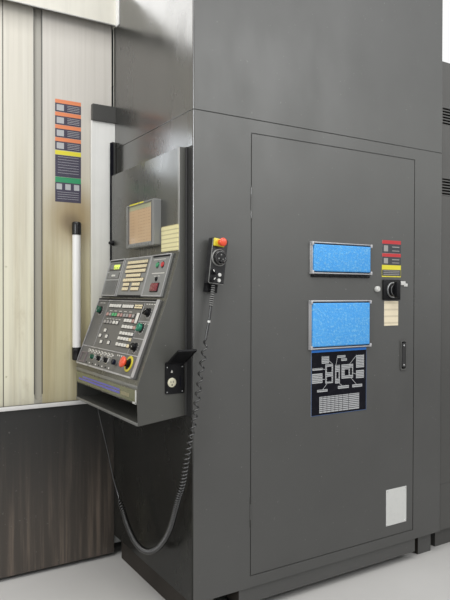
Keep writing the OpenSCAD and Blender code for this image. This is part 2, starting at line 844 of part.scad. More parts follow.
// Screen
module monitor_screen() {
  y0 = con_y + 178;
  x0 = plate_x - 32;
  color([0.82, 0.6, 0.45])
    place()
      box([x0 + 5, y0, 1455], [x0 + 8, y0 + screen_w, 1455 + screen_h]);
}

// Upper control face: three modules side by side
module keyboard_panel() {
  color([0.42, 0.43, 0.43])
    place()
      on_upper() {
        difference() {
          union() {
            translate([cu(44), 3, 0])
              linear_extrude(height = 8)
                round_rect(cu(174), 172, 4);
            translate([cu(222), 3, 0])
              linear_extrude(height = 6)
                round_rect(cu(272), 172, 4);
            translate([cu(498), 3, 0])
              linear_extrude(height = 8)
                round_rect(cu(172), 172, 4);
            for (u = power_us)
              translate([u, power_v, 8])
                cylinder(h = 2, d = power_d + 8);
          }
          for (u = [56, 510])
            translate([cu(u), 8, 5])
              cube([cu(148), 8, 4]);
          for (u = power_us)
            translate([u, power_v, 4])
              cylinder(h = 8, d = power_d + 2 * fit);
        }
        translate([cu(520), 26, 8])
          cube([cu(120), 24, 1.5]);
        translate([cu(520), 60, 8])
          cube([cu(120), 34, 1.5]);
        translate([cu(516), 106, 8])
          cube([cu(130), 60, 2]);
      }
}

// Lower control face with its raised rim
module operation_panel() {
  color([0.3, 0.31, 0.31])
    place()
      on_lower() {
        difference() {
          translate([cu(38), 5, 0])
            linear_extrude(height = 9)
              round_rect(cu(638), 308, 4);
          translate([cu(46), 13, 6])
            cube([cu(622), 292, 4]);
          translate([stop_at[0], stop_at[1], 0.2])
            cylinder(h = 10, d = 25);
        }
        translate([cu(38), divider_v, 5])
          cube([cu(638), 4, 3]);
        for (u = rib_us)
          translate([cu(u), 13, 5])
            cube([3, divider_v - 13, 2]);
        for (v = [92, 160])
          translate([cu(46), v, 5])
            cube([cu(rib_us[0] - 46), 2, 2]);
        translate([cu(560), 122, 5])
          cube([cu(30), 100, 2]);
        translate([cu(plug_u), selector_v, 5])
          cylinder(h = 9, d = 22);
      }
}

// Keys of both control faces: a row runs from u0 to u1 with n keys that leave a gap between them
module key_row(u0, u1, v, n, size) {
  pitch = (u1 - u0) / n;
  for (k = [0 : n - 1])
    translate([cu(u0 + pitch * k), v, 6])
      cube([cu(pitch - size[0]), size[1], size[2]]);
}

module keypad_keys() {
  color([0.85, 0.8, 0.66])
    place() {
      on_upper() {
        for (r = [0, 1, 2, 4])
          key_row(248, 456, key_v0 + key_pitch_v * r, 10, [6, 13, 4]);
        key_row(286, 436, key_v0 + key_pitch_v * 3, 7, [6, 13, 4]);
        for (r = [5 : 6]) {
          key_row(270, 350, key_v0 + key_pitch_v * r, 4, [6, 13, 4]);
          key_row(378, 444, key_v0 + key_pitch_v * r, 3, [6, 13, 4]);
        }
      }
      on_lower() {
        key_row(390, 525, 30, 5, [8, 14, 5]);
        key_row(262, 378, 30, 5, [7, 14, 5]);
        for (v = [28, 37])
          key_row(176, 250, v, 3, [6, 7, 5]);
        key_row(220, 528, 69, 10, [11, 14, 5]);
        key_row(176, 196, 62, 1, [0, 43, 5]);
        key_row(360, 530, 103, 5, [13, 14, 5]);
        key_row(205, 311, 90, 4, [8, 13, 5]);
        for (v = key_vs)
          key_row(172, 312, v, 5, [8, 13, 5]);
        for (p = jog_ats)
          translate([cu(p[0] - 10), p[1] - 7, 6])
            cube([20, 14, 5]);
      }
    }
}

// Yellow ring of the emergency stop
module e_stop_ring() {
  color("gold")
    place()
      on_lower()
        translate([stop_at[0], stop_at[1], 6])
          difference() {
            cylinder(h = 3, d = 62);
            translate([0, 0, -1])
              cylinder(h = 5, d = 24 + 2 * fit);
          }
}

// Red mushroom head of the emergency stop
module mushroom(d, h) {
  cylinder(h = h - 14, d = 24);
  translate([0, 0, h - 14])
    cylinder(h = 5, d1 = 24, d2 = d);
  translate([0, 0, h - 9])
    cylinder(h = 6, d = d);
  translate([0, 0, h - 3])
    cylinder(h = 3, d1 = d, d2 = d - 10);
}

module e_stop_button() {
  color([0.85, 0.12, 0.08])
    place()
      on_lower()
        translate([stop_at[0], stop_at[1], 6 + run])
          mushroom(estop_d, stop_h);
}

// Pointer knob of an override switch
module pointer_knob(d, h) {
  cylinder(h = 4, d = d);
  translate([0, 0, 4])
    cylinder(h = h - 4, d1 = d - 6, d2 = d - 9);
  translate([-3.5, -d / 2 + 1, 4])
    cube([7, d - 2, h - 2]);
}

module knob_at(i) {
  place()
    on_lower()
      translate([cu(knob_ats[i][0]), knob_ats[i][1], 6 + run])
        pointer_knob(36, 20);
}

module feed_knob() {
  color([0.1, 0.5, 0.3])
    knob_at(0);
}

module spindle_knob() {
  color([0.07, 0.07, 0.07])
    knob_at(1);
}

module rapid_knob() {
  color([0.12, 0.55, 0.45])
    knob_at(2);
}

module mode_knob() {
  color([0.07, 0.07, 0.07])
    knob_at(3);
}

// Small selectors of the lower row
module selector_at(i) {
  place()
    on_lower()
      translate([cu(selector_us[i]), selector_v, 6 + run]) {
        cylinder(h = 8, d = 22);
        translate([-3, -9, 8])
          cube([6, 18, 9]);
      }
}

module selector_a() {
  color([0.1, 0.4, 0.25])
    selector_at(0);
}

module selector_b() {
  color([0.07, 0.07, 0.07])
    selector_at(1);
}

module selector_c() {
  color([0.07, 0.07, 0.07])
    selector_at(2);
}

// Power buttons
module button_at(u) {
  place()
    on_upper()
      translate([u, power_v, 8 + run])
        cylinder(h = 6, d = power_d);
}

module power_on_button() {
  color([0.1, 0.55, 0.3])
    button_at(power_us[1]);
}

module power_off_button() {
  color([0.7, 0.15, 0.15])
    button_at(power_us[0]);
}

// Outlet on the console's side
module outlet_plate() {
  color([0.16, 0.16, 0.16])
    place() {
      difference() {
        union() {
          plate_y(outlet_x, outlet_x + 77, con_y - 4, con_y, 880, 996, 5);
          for (x = [outlet_x + 2, outlet_x + 71])
            plate_y(x, x + 4, con_y - 13, con_y - 3, 988, 998, 0.5);
        }
        bar_y(outlet_x + 26, con_y - 5, con_y - 3, 922, 38);
        box([outlet_x + 56, con_y - 5, 904], [outlet_x + 64, con_y - 2, 944]);
      }
      difference() {
        bar_y(outlet_x + 26, con_y - 5, con_y - 1, 922, 35);
        for (x = [outlet_x + 18, outlet_x + 30])
          box([x, con_y - 6, 918], [x + 4, con_y - 2, 930]);
        bar_y(outlet_x + 26, con_y - 6, con_y - 2, 911, 6);
      }
      bar_x(outlet_x + 3, outlet_x + 74, con_y - 10, 993, 3);
    }
}

// Lifted cover of the outlet
module outlet_flap() {
  color([0.13, 0.13, 0.13])
    place()
      translate([outlet_x, con_y - 10, 993])
        rotate([59, 0, 0])
          difference() {
            union() {
              bar_x(7, 70, 0, 0, 7);
              box([7, -2, 0], [70, 2, 8]);
              box([1, -2, 8], [76, 2, 108]);
              box([1, -5.5, 8], [3, -1, 108]);
              box([74, -5.5, 8], [76, -1, 108]);
              box([1, -5.5, 106], [76, -1, 108]);
            }
            bar_x(0, 77, 0, 0, 3 + 2 * fit);
          }
}

// Round latch at the console's free edge
module console_latch() {
  color([0.1, 0.1, 0.1])
    place() {
      bar_x(plate_x - 14, plate_x - run, con_y1 - 20, 1479, 24);
      bar_x(plate_x - 22, plate_x - 14, con_y1 - 20, 1479, 14);
    }
}

// Pad of note paper fixed beside the monitor
module note_pad() {
  color([0.93, 0.9, 0.7])
    place()
      box([plate_x - 5, con_y + 1, 1407], [plate_x, con_y + 150, 1508]);
}

// Pendant controls
module pendant_estop() {
  color([0.85, 0.12, 0.08])
    place()
      on_pendant()
        translate([pen_stop_at[0], -pen_y - pen_t - 5, pen_stop_at[1]])
          rotate([90, 0, 0])
            mushroom(33, 25);
}

module pendant_dial() {
  color([0.06, 0.06, 0.06])
    place()
      on_pendant()
        translate([dial_at[0], -pen_y - pen_t - 6 - run, dial_at[1]])
          rotate([90, 0, 0]) {
            cylinder(h = 12, d = dial_d);
            translate([15, 0, 12])
              cylinder(h = 8, d = 9);
          }
}

module small_knob(z) {
  place()
    on_pendant()
      translate([pen_knob_x, -pen_y - pen_t - run, z])
        rotate([90, 0, 0]) {
          cylinder(h = 7, d = 20);
          translate([-3, -11, 7])
            cube([6, 22, 7]);
        }
}

module pendant_axis_knob() {
  color([0.06, 0.06, 0.06])
    small_knob(pen_knob_zs[0]);
}

module pendant_step_knob() {
  color([0.06, 0.06, 0.06])
    small_knob(pen_knob_zs[1]);
}

// Column on its rails, with the window the head runs in
module column() {
  color([0.7, 0.72, 0.7])
    place()
      difference() {
        union() {
          box([250, spindle_y - 420, bed_z + 100 + rail_h + run], [1150, spindle_y + 420, 860]);
          box([280, spindle_y - 400, 860], [1100, spindle_y + 400, 2480]);
          for (y = [spindle_y - 340, spindle_y + 290])
            box([240, y, 900], [280, y + 50, 2440]);
        }
        box([270, spindle_y - 240, 1000], [1101, spindle_y + 240, 2340]);
        for (y = [spindle_y - 401, spindle_y + 380], z = [1000, 1500, 2000])
          box([420, y, z], [960, y + 21, z + 320]);
      }
}

// Spindle head
module spindle_head() {
  color([0.6, 0.62, 0.6])
    place()
      difference() {
        union() {
          box([-60, spindle_y - 350, spindle_z - 240], [240 - run, spindle_y + 350, spindle_z + 240]);
          box([200, spindle_y - 220, spindle_z - 200], [900, spindle_y + 220, spindle_z + 200]);
          bar_x(-110, -60, spindle_y, spindle_z, 300);
        }
        bar_x(-111, 420, spindle_y, spindle_z, spindle_d + 2 * fit);
      }
}

// Spindle with its nose and taper
module spindle() {
  color([0.8, 0.8, 0.82])
    place()
      difference() {
        union() {
          bar_x(nose_x, -110 - run, spindle_y, spindle_z, 190);
          bar_x(-111, 400, spindle_y, spindle_z, spindle_d);
        }
        translate([nose_x - 0.01, spindle_y, spindle_z])
          rotate([0, 90, 0])
            cylinder(h = 100, d1 = 70, d2 = 40);
        for (s = [-1, 1])
          translate([nose_x - 1, spindle_y + s * 70 - 12, spindle_z - 12])
            cube([8, 24, 24]);
      }
}

// Table saddle on its rails
module table_saddle() {
  cx = -650;
  color([0.55, 0.57, 0.56])
    place()
      difference() {
        union() {
          box([cx - 300, spindle_y - 300, bed_z + rail_h + run], [cx + 300, spindle_y + 300, 780]);
          bar_z(cx, spindle_y, 780, 860, 520);
        }
        for (y = [spindle_y - 160, spindle_y + 100])
          box([cx - 301, y, 679], [cx + 301, y + 60, 700]);
      }
}

// Rotary pallet
module rotary_pallet() {
  cx = -650;
  w = pallet_w / 2;
  color([0.72, 0.73, 0.72])
    place()
      difference() {
        translate([cx, spindle_y, 860 + run])
          linear_extrude(height = 130)
            polygon([[-w + 60, -w], [w - 60, -w], [w, -w + 60], [w, w - 60],
                     [w - 60, w], [-w + 60, w], [-w, w - 60], [-w, -w + 60]]);
        for (x = [-240 : 120 : 240])
          box([cx + x - 9, spindle_y - w - 1, 970], [cx + x + 9, spindle_y + w + 1, 992]);
      }
}

// Tool magazine: disc with pockets turning on its shaft
module tool_magazine() {
  my = back_y - mag_back;
  color([0.5, 0.52, 0.55])
    place()
      difference() {
        union() {
          bar_x(mag_x, mag_x + 60, my, mag_z, 120);
          difference() {
            bar_x(mag_x + 10, mag_x + 24, my, mag_z, 420);
            for (k = [0 : 5])
              bar_x(mag_x + 9, mag_x + 25, my + 120 * cos(60 * k), mag_z + 120 * sin(60 * k), 60);
          }
          for (k = [0 : pockets - 1])
            bar_x(mag_x - 30, mag_x + 60, my + 195 * cos(360 * k / pockets),
                  mag_z + 195 * sin(360 * k / pockets), 46);
        }
        bar_x(mag_x - 1, mag_x + 61, my, mag_z, 60 + 2 * fit);
      }
}

machine_base();
leveling_feet();
enclosure_walls();
roof_panel();
front_apron();
door_header();
jamb_cover();
jamb_trim();
right_guard();
cabinet_shell();
cabinet_top_box();
cabinet_plinth();
hinge_strip();
cabinet_backplate();
pendant_bracket();
pendant_body();
cord_lead();
cord_coil();
front_door();
door_window();
door_handle();
cabinet_door();
filter_frames();
filter_pads();
door_plates();
breaker_plate();
breaker_handle();
door_latch();
lock_knob();
console_case();
monitor_housing();
monitor_screen();
keyboard_panel();
operation_panel();
keypad_keys();
e_stop_ring();
e_stop_button();
feed_knob();
spindle_knob();
rapid_knob();
mode_knob();
selector_a();
selector_b();
selector_c();
power_on_button();
power_off_button();
outlet_plate();
outlet_flap();
console_latch();
note_pad();
pendant_estop();
pendant_dial();
pendant_axis_knob();
pendant_step_knob();
column();
spindle_head();
spindle();
table_saddle();
rotary_pallet();
tool_magazine();
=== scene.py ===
"""Horizontal machining centre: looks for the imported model.

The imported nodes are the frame. This script gives every node a procedural finish and adds the
pieces whose shape needs more than the solids have: the coiled cord, keys, knobs, dials, filter
pads, plates and trims. Lengths in the classes are millimetres in the corner frame: X runs right
from the cabinet's near upright edge, Y runs into the machine from the cabinet's front face and
Z runs up from the floor.
"""

from __future__ import annotations

import json
import logging
import math
from dataclasses import dataclass, field
from enum import Enum
from typing import Any, Sequence

import bmesh
import bpy
from mathutils import Matrix, Vector

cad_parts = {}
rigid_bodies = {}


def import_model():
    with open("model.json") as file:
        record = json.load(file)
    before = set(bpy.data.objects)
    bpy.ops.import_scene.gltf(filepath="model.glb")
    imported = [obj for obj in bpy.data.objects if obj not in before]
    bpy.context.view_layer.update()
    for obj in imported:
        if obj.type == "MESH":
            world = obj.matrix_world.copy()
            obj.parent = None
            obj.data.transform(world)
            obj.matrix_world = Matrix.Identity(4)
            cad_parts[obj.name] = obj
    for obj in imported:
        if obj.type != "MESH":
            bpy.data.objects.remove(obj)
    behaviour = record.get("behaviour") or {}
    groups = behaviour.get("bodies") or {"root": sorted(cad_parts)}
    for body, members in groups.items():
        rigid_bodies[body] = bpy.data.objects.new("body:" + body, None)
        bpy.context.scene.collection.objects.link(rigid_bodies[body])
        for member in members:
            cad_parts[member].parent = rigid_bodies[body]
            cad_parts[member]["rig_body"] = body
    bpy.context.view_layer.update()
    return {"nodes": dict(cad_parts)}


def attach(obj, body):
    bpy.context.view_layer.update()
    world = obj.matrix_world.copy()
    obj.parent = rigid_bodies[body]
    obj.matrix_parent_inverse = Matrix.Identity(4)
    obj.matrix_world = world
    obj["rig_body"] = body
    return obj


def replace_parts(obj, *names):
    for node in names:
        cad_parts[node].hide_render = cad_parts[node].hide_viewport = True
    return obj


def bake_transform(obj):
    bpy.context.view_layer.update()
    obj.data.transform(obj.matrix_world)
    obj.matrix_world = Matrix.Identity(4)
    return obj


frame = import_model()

LOG = logging.getLogger("machining_centre")

Colour = tuple[float, float, float]
Point = tuple[float, float, float]
Spot = tuple[float, float]
Box = tuple[float, float, float, float]

# Measures that several frames share, in millimetres, and the way to the row frame in metres.
MIDDLE_Y = 1426.0
SLOPE_TOP = 1402.0
SLOPE_MID = 1227.0
SLOPE_LOW = 920.0
CONSOLE_Y = 48.0
DEPTH_TOP = 30.0
DEPTH_MID = 81.0
DEPTH_LOW = 197.0
PENDANT_LEAN = math.radians(7.0)
TO_ROW = Matrix.Translation((0.0, -MIDDLE_Y / 1000.0, 0.0)) @ Matrix.Scale(0.001, 4)


def row_point(point: Sequence[float]) -> tuple[float, float, float]:
    """A corner-frame point in millimetres as a row-frame point in metres."""
    return (point[0] / 1000.0, (point[1] - MIDDLE_Y) / 1000.0, point[2] / 1000.0)


def axes_frame(origin: Point, x: Vector, y: Vector, z: Vector) -> Matrix:
    """A matrix whose columns are the given axes, placed at origin."""
    turn = Matrix((x, y, z)).transposed().to_4x4()
    return Matrix.Translation(origin) @ turn


def slope_frame(top: Spot, foot: Spot) -> Matrix:
    """Frame of one of the console's slopes: x along it, y down the slope, z outward.

    Args:
        top: depth and height of the slope's upper edge.
        foot: depth and height of its lower edge.

    Returns:
        The frame as a matrix.
    """
    angle = math.atan2(foot[0] - top[0], top[1] - foot[1])
    s, c = math.sin(angle), math.cos(angle)
    return axes_frame((-top[0], CONSOLE_Y, top[1]), Vector((0, 1, 0)), Vector((-s, 0, -c)), Vector((-c, 0, s)))


def upper_frame() -> Matrix:
    """Frame of the console's upper slope."""
    return slope_frame((DEPTH_TOP, SLOPE_TOP), (DEPTH_MID, SLOPE_MID))


def lower_frame() -> Matrix:
    """Frame of the console's lower slope."""
    return slope_frame((DEPTH_MID, SLOPE_MID), (DEPTH_LOW, SLOPE_LOW))


def pendant_frame() -> Matrix:
    """Frame of the hanging pendant: x to its right, y into the machine, z up along it."""
    s, c = math.sin(PENDANT_LEAN), math.cos(PENDANT_LEAN)
    return axes_frame((69.0, 0.0, 1283.0), Vector((c, 0, -s)), Vector((0, 1, 0)), Vector((s, 0, c)))


def shift(x: float, y: float, z: float) -> Matrix:
    """A move by millimetres."""
    return Matrix.Translation((x, y, z))


def turned(angle: float) -> Matrix:
    """A turn about z by an angle in radians."""
    return Matrix.Rotation(angle, 4, "Z")


def placed(name: str, data: Any) -> bpy.types.Object:
    """A new object of the scene.

    Args:
        name: the object's name.
        data: its mesh, curve, camera or light.

    Returns:
        The object.
    """
    made = bpy.data.objects.new(name, data)
    bpy.context.scene.collection.objects.link(made)
    return made


def smoothed(mesh: bpy.types.Mesh, sharp_deg: float = 180.0) -> None:
    """Shades a mesh smooth.

    Args:
        mesh: the mesh to shade.
        sharp_deg: edges sharper than this angle stay sharp, none at 180.
    """
    mesh.polygons.foreach_set("use_smooth", [True] * len(mesh.polygons))
    if sharp_deg < 180.0:
        mesh.set_sharp_from_angle(angle=math.radians(sharp_deg))


def front_frame(x: float, y: float, z: float) -> Matrix:
    """Frame on a face that looks to the front: x right, y up, z out towards the viewer."""
    return axes_frame((x, y, z), Vector((1, 0, 0)), Vector((0, 0, 1)), Vector((0, -1, 0)))


def side_frame(x: float, y: float, z: float) -> Matrix:
    """Frame on a face that looks to the left: x into the machine, y up, z out to the left."""
    return axes_frame((x, y, z), Vector((0, -1, 0)), Vector((0, 0, 1)), Vector((-1, 0, 0)))


# Materials


class Graph:
    """Builds one procedural material from nodes that read Object coordinates."""

    def __init__(self, name: str) -> None:
        """Starts an empty node material.

        Args:
            name: the material's name.
        """
        self.material = bpy.data.materials.new(name)
        self.material.use_nodes = True
        self.tree = self.material.node_tree
        self.tree.nodes.clear()
        self.out = self.tree.nodes.new("ShaderNodeOutputMaterial")
        self.shader = self.tree.nodes.new("ShaderNodeBsdfPrincipled")
        self.link(self.shader.outputs[0], self.out.inputs[0])
        self.coords = self.tree.nodes.new("ShaderNodeTexCoord").outputs["Object"]

    def link(self, source: Any, target: Any) -> None:
        """Links one socket to another."""
        self.tree.links.new(source, target)

    def feed(self, socket: Any, value: Any) -> None:
        """Links a socket or sets its value, whichever value is.

        Args:
            socket: the input that takes the value.
            value: an output socket, a number or a colour.
        """
        if isinstance(value, bpy.types.NodeSocket):
            self.link(value, socket)
        elif isinstance(value, tuple) and len(value) == 3 and socket.type == "RGBA":
            socket.default_value = (*value, 1.0)
        else:
            socket.default_value = value

    def noise(self, scale: float, detail: float = 3.0, rough: float = 0.5,
              stretch: Point = (1.0, 1.0, 1.0)) -> Any:
        """A noise value from 0 to 1.

        Args:
            scale: waves per metre.
            detail: number of finer layers.
            rough: weight of the finer layers.
            stretch: scale along each axis, for streaks.

        Returns:
            The noise factor's socket.
        """
        place = self.tree.nodes.new("ShaderNodeMapping")
        place.inputs["Scale"].default_value = stretch
        self.link(self.coords, place.inputs["Vector"])
        tex = self.tree.nodes.new("ShaderNodeTexNoise")
        tex.inputs["Scale"].default_value = scale
        tex.inputs["Detail"].default_value = detail
        tex.inputs["Roughness"].default_value = rough
        self.link(place.outputs[0], tex.inputs["Vector"])
        return tex.outputs["Fac"]

    def cells(self, scale: float) -> Any:
        """Distance to the nearest of many scattered points.

        Args:
            scale: points per metre.

        Returns:
            The distance's socket.
        """
        tex = self.tree.nodes.new("ShaderNodeTexVoronoi")
        tex.inputs["Scale"].default_value = scale
        self.link(self.coords, tex.inputs["Vector"])
        return tex.outputs["Distance"]

    def axis(self, name: str) -> Any:
        """One coordinate, X, Y or Z, of the point in metres.

        Args:
            name: the axis.

        Returns:
            The coordinate's socket.
        """
        part = self.tree.nodes.new("ShaderNodeSeparateXYZ")
        self.link(self.coords, part.inputs[0])
        return part.outputs[name]

    def ramp(self, value: Any, low: float, high: float, smooth: bool = True) -> Any:
        """Maps value so that low gives 0 and high gives 1, held in between.

        Args:
            value: what is mapped.
            low: the value that gives 0.
            high: the value that gives 1.
            smooth: eases both ends.

        Returns:
            The result's socket.
        """
        span = self.tree.nodes.new("ShaderNodeMapRange")
        span.interpolation_type = "SMOOTHSTEP" if smooth else "LINEAR"
        span.inputs["From Min"].default_value = low
        span.inputs["From Max"].default_value = high
        self.feed(span.inputs["Value"], value)
        return span.outputs["Result"]

    def math(self, kind: str, a: Any, b: Any = 0.0) -> Any:
        """A Math node of the given operation.

        Args:
            kind: the operation.
            a: first input.
            b: second input.

        Returns:
            The value's socket.
        """
        node = self.tree.nodes.new("ShaderNodeMath")
        node.operation = kind
        self.feed(node.inputs[0], a)
        self.feed(node.inputs[1], b)
        return node.outputs[0]

    def times(self, a: Any, b: Any) -> Any:
        """The product of two values."""
        return self.math("MULTIPLY", a, b)

    def surface(self, name: str, value: Any) -> None:
        """Gives the shader's named input a socket or a value."""
        self.feed(self.shader.inputs[name], value)

    def mix(self, factor: Any, a: Any, b: Any, blend: str = "MIX") -> Any:
        """A colour mix of a and b by factor.

        Args:
            factor: share of b.
            a: first colour.
            b: second colour.
            blend: how they are mixed.

        Returns:
            The colour's socket.
        """
        node = self.tree.nodes.new("ShaderNodeMix")
        node.data_type = "RGBA"
        node.blend_type = blend
        self.feed(node.inputs["Factor"], factor)
        self.feed(node.inputs[6], a)
        self.feed(node.inputs[7], b)
        return node.outputs[2]

    def near(self, centre: Point, radius: Point) -> Any:
        """1 inside an ellipsoid round centre, falling to 0 at its edge; metres.

        Args:
            centre: its middle.
            radius: its half size along each axis.

        Returns:
            The value's socket.
        """
        place = self.tree.nodes.new("ShaderNodeMapping")
        place.vector_type = "POINT"
        place.inputs["Scale"].default_value = tuple(1.0 / r for r in radius)
        place.inputs["Location"].default_value = tuple(-c / r for c, r in zip(centre, radius))
        self.link(self.coords, place.inputs["Vector"])
        length = self.tree.nodes.new("ShaderNodeVectorMath")
        length.operation = "LENGTH"
        self.link(place.outputs[0], length.inputs[0])
        return self.ramp(length.outputs["Value"], 1.0, 0.15)

    def bump(self, height: Any, strength: float, distance: float) -> None:
        """Adds a bump from height to the shader's normal.

        Args:
            height: the height map.
            strength: share of the effect.
            distance: depth in metres.
        """
        node = self.tree.nodes.new("ShaderNodeBump")
        node.inputs["Strength"].default_value = strength
        node.inputs["Distance"].default_value = distance
        self.feed(node.inputs["Height"], height)
        self.link(node.outputs[0], self.shader.inputs["Normal"])


class Finish:
    """A surface finish that makes its material once."""

    name: str

    def build(self, graph: Graph) -> None:
        """Fills the graph; each finish has its own.

        Args:
            graph: the graph to fill.
        """
        raise NotImplementedError

    def material(self) -> bpy.types.Material:
        """The finish's material, made on first use.

        Returns:
            The material.
        """
        found = bpy.data.materials.get("look_" + self.name)
        if found is not None:
            return found
        graph = Graph("look_" + self.name)
        self.build(graph)
        return graph.material


@dataclass(frozen=True)
class SheetPaint(Finish):
    """Sprayed paint on sheet metal, darker towards the floor: grime, and on the cabinet and console greys
    partly painted shade.
    """

    name: str
    base: Colour
    low: Colour
    low_z: float = 0.2
    high_z: float = 2.0
    rough: float = 0.42
    mottle: float = 0.10
    streak: float = 0.0
    specks: float = 0.25
    peel: float = 0.12
    metallic: float = 0.0
    ior: float = 1.5
    top: Colour | None = None
    top_z: float = 1.9
    low_gloss: float = 0.5
    bloom: float = 0.0
    dirt: Colour = (0.03, 0.028, 0.024)
    bloom_tint: Colour = (0.085, 0.082, 0.060)
    bare: Colour = (0.45, 0.44, 0.42)

    def build(self, graph: Graph) -> None:
        """Height gradient, mottling, runs, chips and a fine orange peel.

        Args:
            graph: the graph to fill.
        """
        height = graph.axis("Z")
        # Darker low tone: grime, and on the cabinet and console greys partly painted shade.
        colour = graph.mix(graph.ramp(height, self.low_z, self.high_z), self.low, self.base)
        # Where a top tone is given, as on the cabinet grey, it is painted shade that evens out the overhead
        # lamp.
        if self.top is not None:
            colour = graph.mix(graph.ramp(height, self.top_z - 0.25, self.top_z + 0.7), colour, self.top)
        dark = tuple(c * (1.0 - self.mottle) for c in (1.0, 1.0, 1.0))
        light = tuple(1.0 + self.mottle * 0.6 for _ in range(3))
        cloud = graph.mix(graph.ramp(graph.noise(2.3, 5.0, 0.6), 0.3, 0.7), dark, light)
        colour = graph.mix(1.0, colour, cloud, "MULTIPLY")
        if self.streak:
            run = graph.ramp(graph.noise(9.0, 6.0, 0.62, (4.0, 4.0, 0.10)), 0.42, 0.72)
            colour = graph.mix(graph.times(run, self.streak), colour, self.dirt)
        if self.bloom:
            stain = graph.ramp(graph.noise(3.4, 6.0, 0.66, (1.0, 1.0, 0.7)), 0.52, 0.80)
            colour = graph.mix(graph.times(stain, self.bloom), colour, self.bloom_tint)
        if self.specks:
            chip = graph.ramp(graph.noise(95.0, 2.0, 0.5), 0.735, 0.78)
            colour = graph.mix(graph.times(chip, self.specks), colour, self.bare)
        graph.surface("Base Color", colour)
        graph.surface("Metallic", self.metallic)
        graph.surface("IOR", self.ior)
        if self.low_gloss != 0.5:
            rise = graph.times(graph.ramp(height, 0.35, 1.05), 0.5 - self.low_gloss)
            graph.surface("Specular IOR Level", graph.math("ADD", rise, self.low_gloss))
        wipe = graph.ramp(graph.noise(5.0, 4.0, 0.6, (1.0, 1.0, 0.5)), 0.25, 0.8)
        graph.surface("Roughness", graph.math("ADD", graph.times(wipe, 0.16), self.rough - 0.08))
        graph.bump(graph.noise(420.0, 2.0, 0.5), self.peel, 0.0006)


@dataclass(frozen=True)
class StainedDoorPaint(Finish):
    """Cream door paint with upright wipe streaks and yellow-brown oil stains below."""

    name: str
    left_high: Colour = (0.71, 0.68, 0.60)
    left_low: Colour = (0.84, 0.81, 0.64)
    right_high: Colour = (0.68, 0.65, 0.60)
    right_low: Colour = (0.62, 0.565, 0.36)
    channel: Colour = (0.36, 0.35, 0.31)
    stain: Colour = (0.30, 0.215, 0.085)
    grime: Colour = (0.12, 0.10, 0.075)
    wipe: Colour = (0.34, 0.32, 0.26)
    rubbed: Colour = (0.86, 0.84, 0.78)
    halo: Colour = (0.30, 0.20, 0.07)
    core: Colour = (0.10, 0.07, 0.05)
    gap: Colour = (0.05, 0.045, 0.04)
    # Darker band under the header: sooty paint and partly painted shade under its overhang.
    soot_and_shade: Colour = (0.10, 0.09, 0.08)
    halo_at: Point = (-0.19, -0.644, 1.60)
    halo_r: Point = (0.17, 0.2, 0.20)
    core_at: Point = (-0.205, -0.644, 1.57)
    core_r: Point = (0.07, 0.2, 0.07)

    def build(self, graph: Graph) -> None:
        """Tone by panel and height, streaks, a dark foot and the stain by the handle.

        Args:
            graph: the graph to fill.
        """
        height = graph.axis("Z")
        across = graph.axis("X")
        left = graph.mix(graph.ramp(height, 0.9, 2.4), self.left_low, self.left_high)
        right = graph.mix(graph.ramp(height, 1.1, 2.2), self.right_low, self.right_high)
        colour = graph.mix(graph.ramp(across, -0.380, -0.330), left, right)
        fine = graph.ramp(graph.noise(16.0, 8.0, 0.68, (3.0, 3.0, 0.045)), 0.34, 0.78)
        colour = graph.mix(graph.times(fine, 0.26), colour, self.wipe)
        pale = graph.ramp(graph.noise(11.0, 8.0, 0.7, (4.0, 4.0, 0.06)), 0.50, 0.80)
        colour = graph.mix(graph.times(pale, 0.25), colour, self.rubbed)
        wide = graph.ramp(graph.noise(5.0, 6.0, 0.62, (3.2, 3.2, 0.14)), 0.42, 0.68)
        lower = graph.ramp(height, 2.2, 1.0)
        colour = graph.mix(graph.times(graph.times(wide, lower), 0.42), colour, self.stain)
        blot = graph.ramp(graph.noise(6.5, 6.0, 0.66, (1.0, 1.0, 0.55)), 0.56, 0.74)
        blot = graph.times(graph.times(blot, graph.ramp(height, 1.9, 0.8)), 0.40)
        colour = graph.mix(blot, colour, self.stain)
        halo = graph.times(graph.near(self.halo_at, self.halo_r), 0.72)
        colour = graph.mix(halo, colour, self.halo)
        core = graph.times(graph.near(self.core_at, self.core_r), 0.5)
        colour = graph.mix(core, colour, self.core)
        foot = graph.times(graph.ramp(height, 0.90, 0.74), 0.20)
        colour = graph.mix(foot, colour, self.grime)
        inside = graph.times(graph.ramp(across, -0.3725, -0.3705), graph.ramp(across, -0.3345, -0.3365))
        colour = graph.mix(graph.times(inside, 0.82), colour, self.channel)
        seam = graph.times(graph.ramp(across, -0.5055, -0.5035), graph.ramp(across, -0.4990, -0.5010))
        colour = graph.mix(graph.times(seam, 0.8), colour, self.gap)
        # Darker band just under the header: sooty paint and partly painted shade under its overhang.
        soot_and_shade = graph.times(graph.ramp(height, 2.36, 2.50), 0.45)
        colour = graph.mix(soot_and_shade, colour, self.soot_and_shade)
        graph.surface("Base Color", colour)
        graph.surface("Roughness", graph.math("ADD", graph.times(wide, 0.2), 0.42))
        graph.bump(graph.noise(300.0, 2.0, 0.5), 0.08, 0.0005)


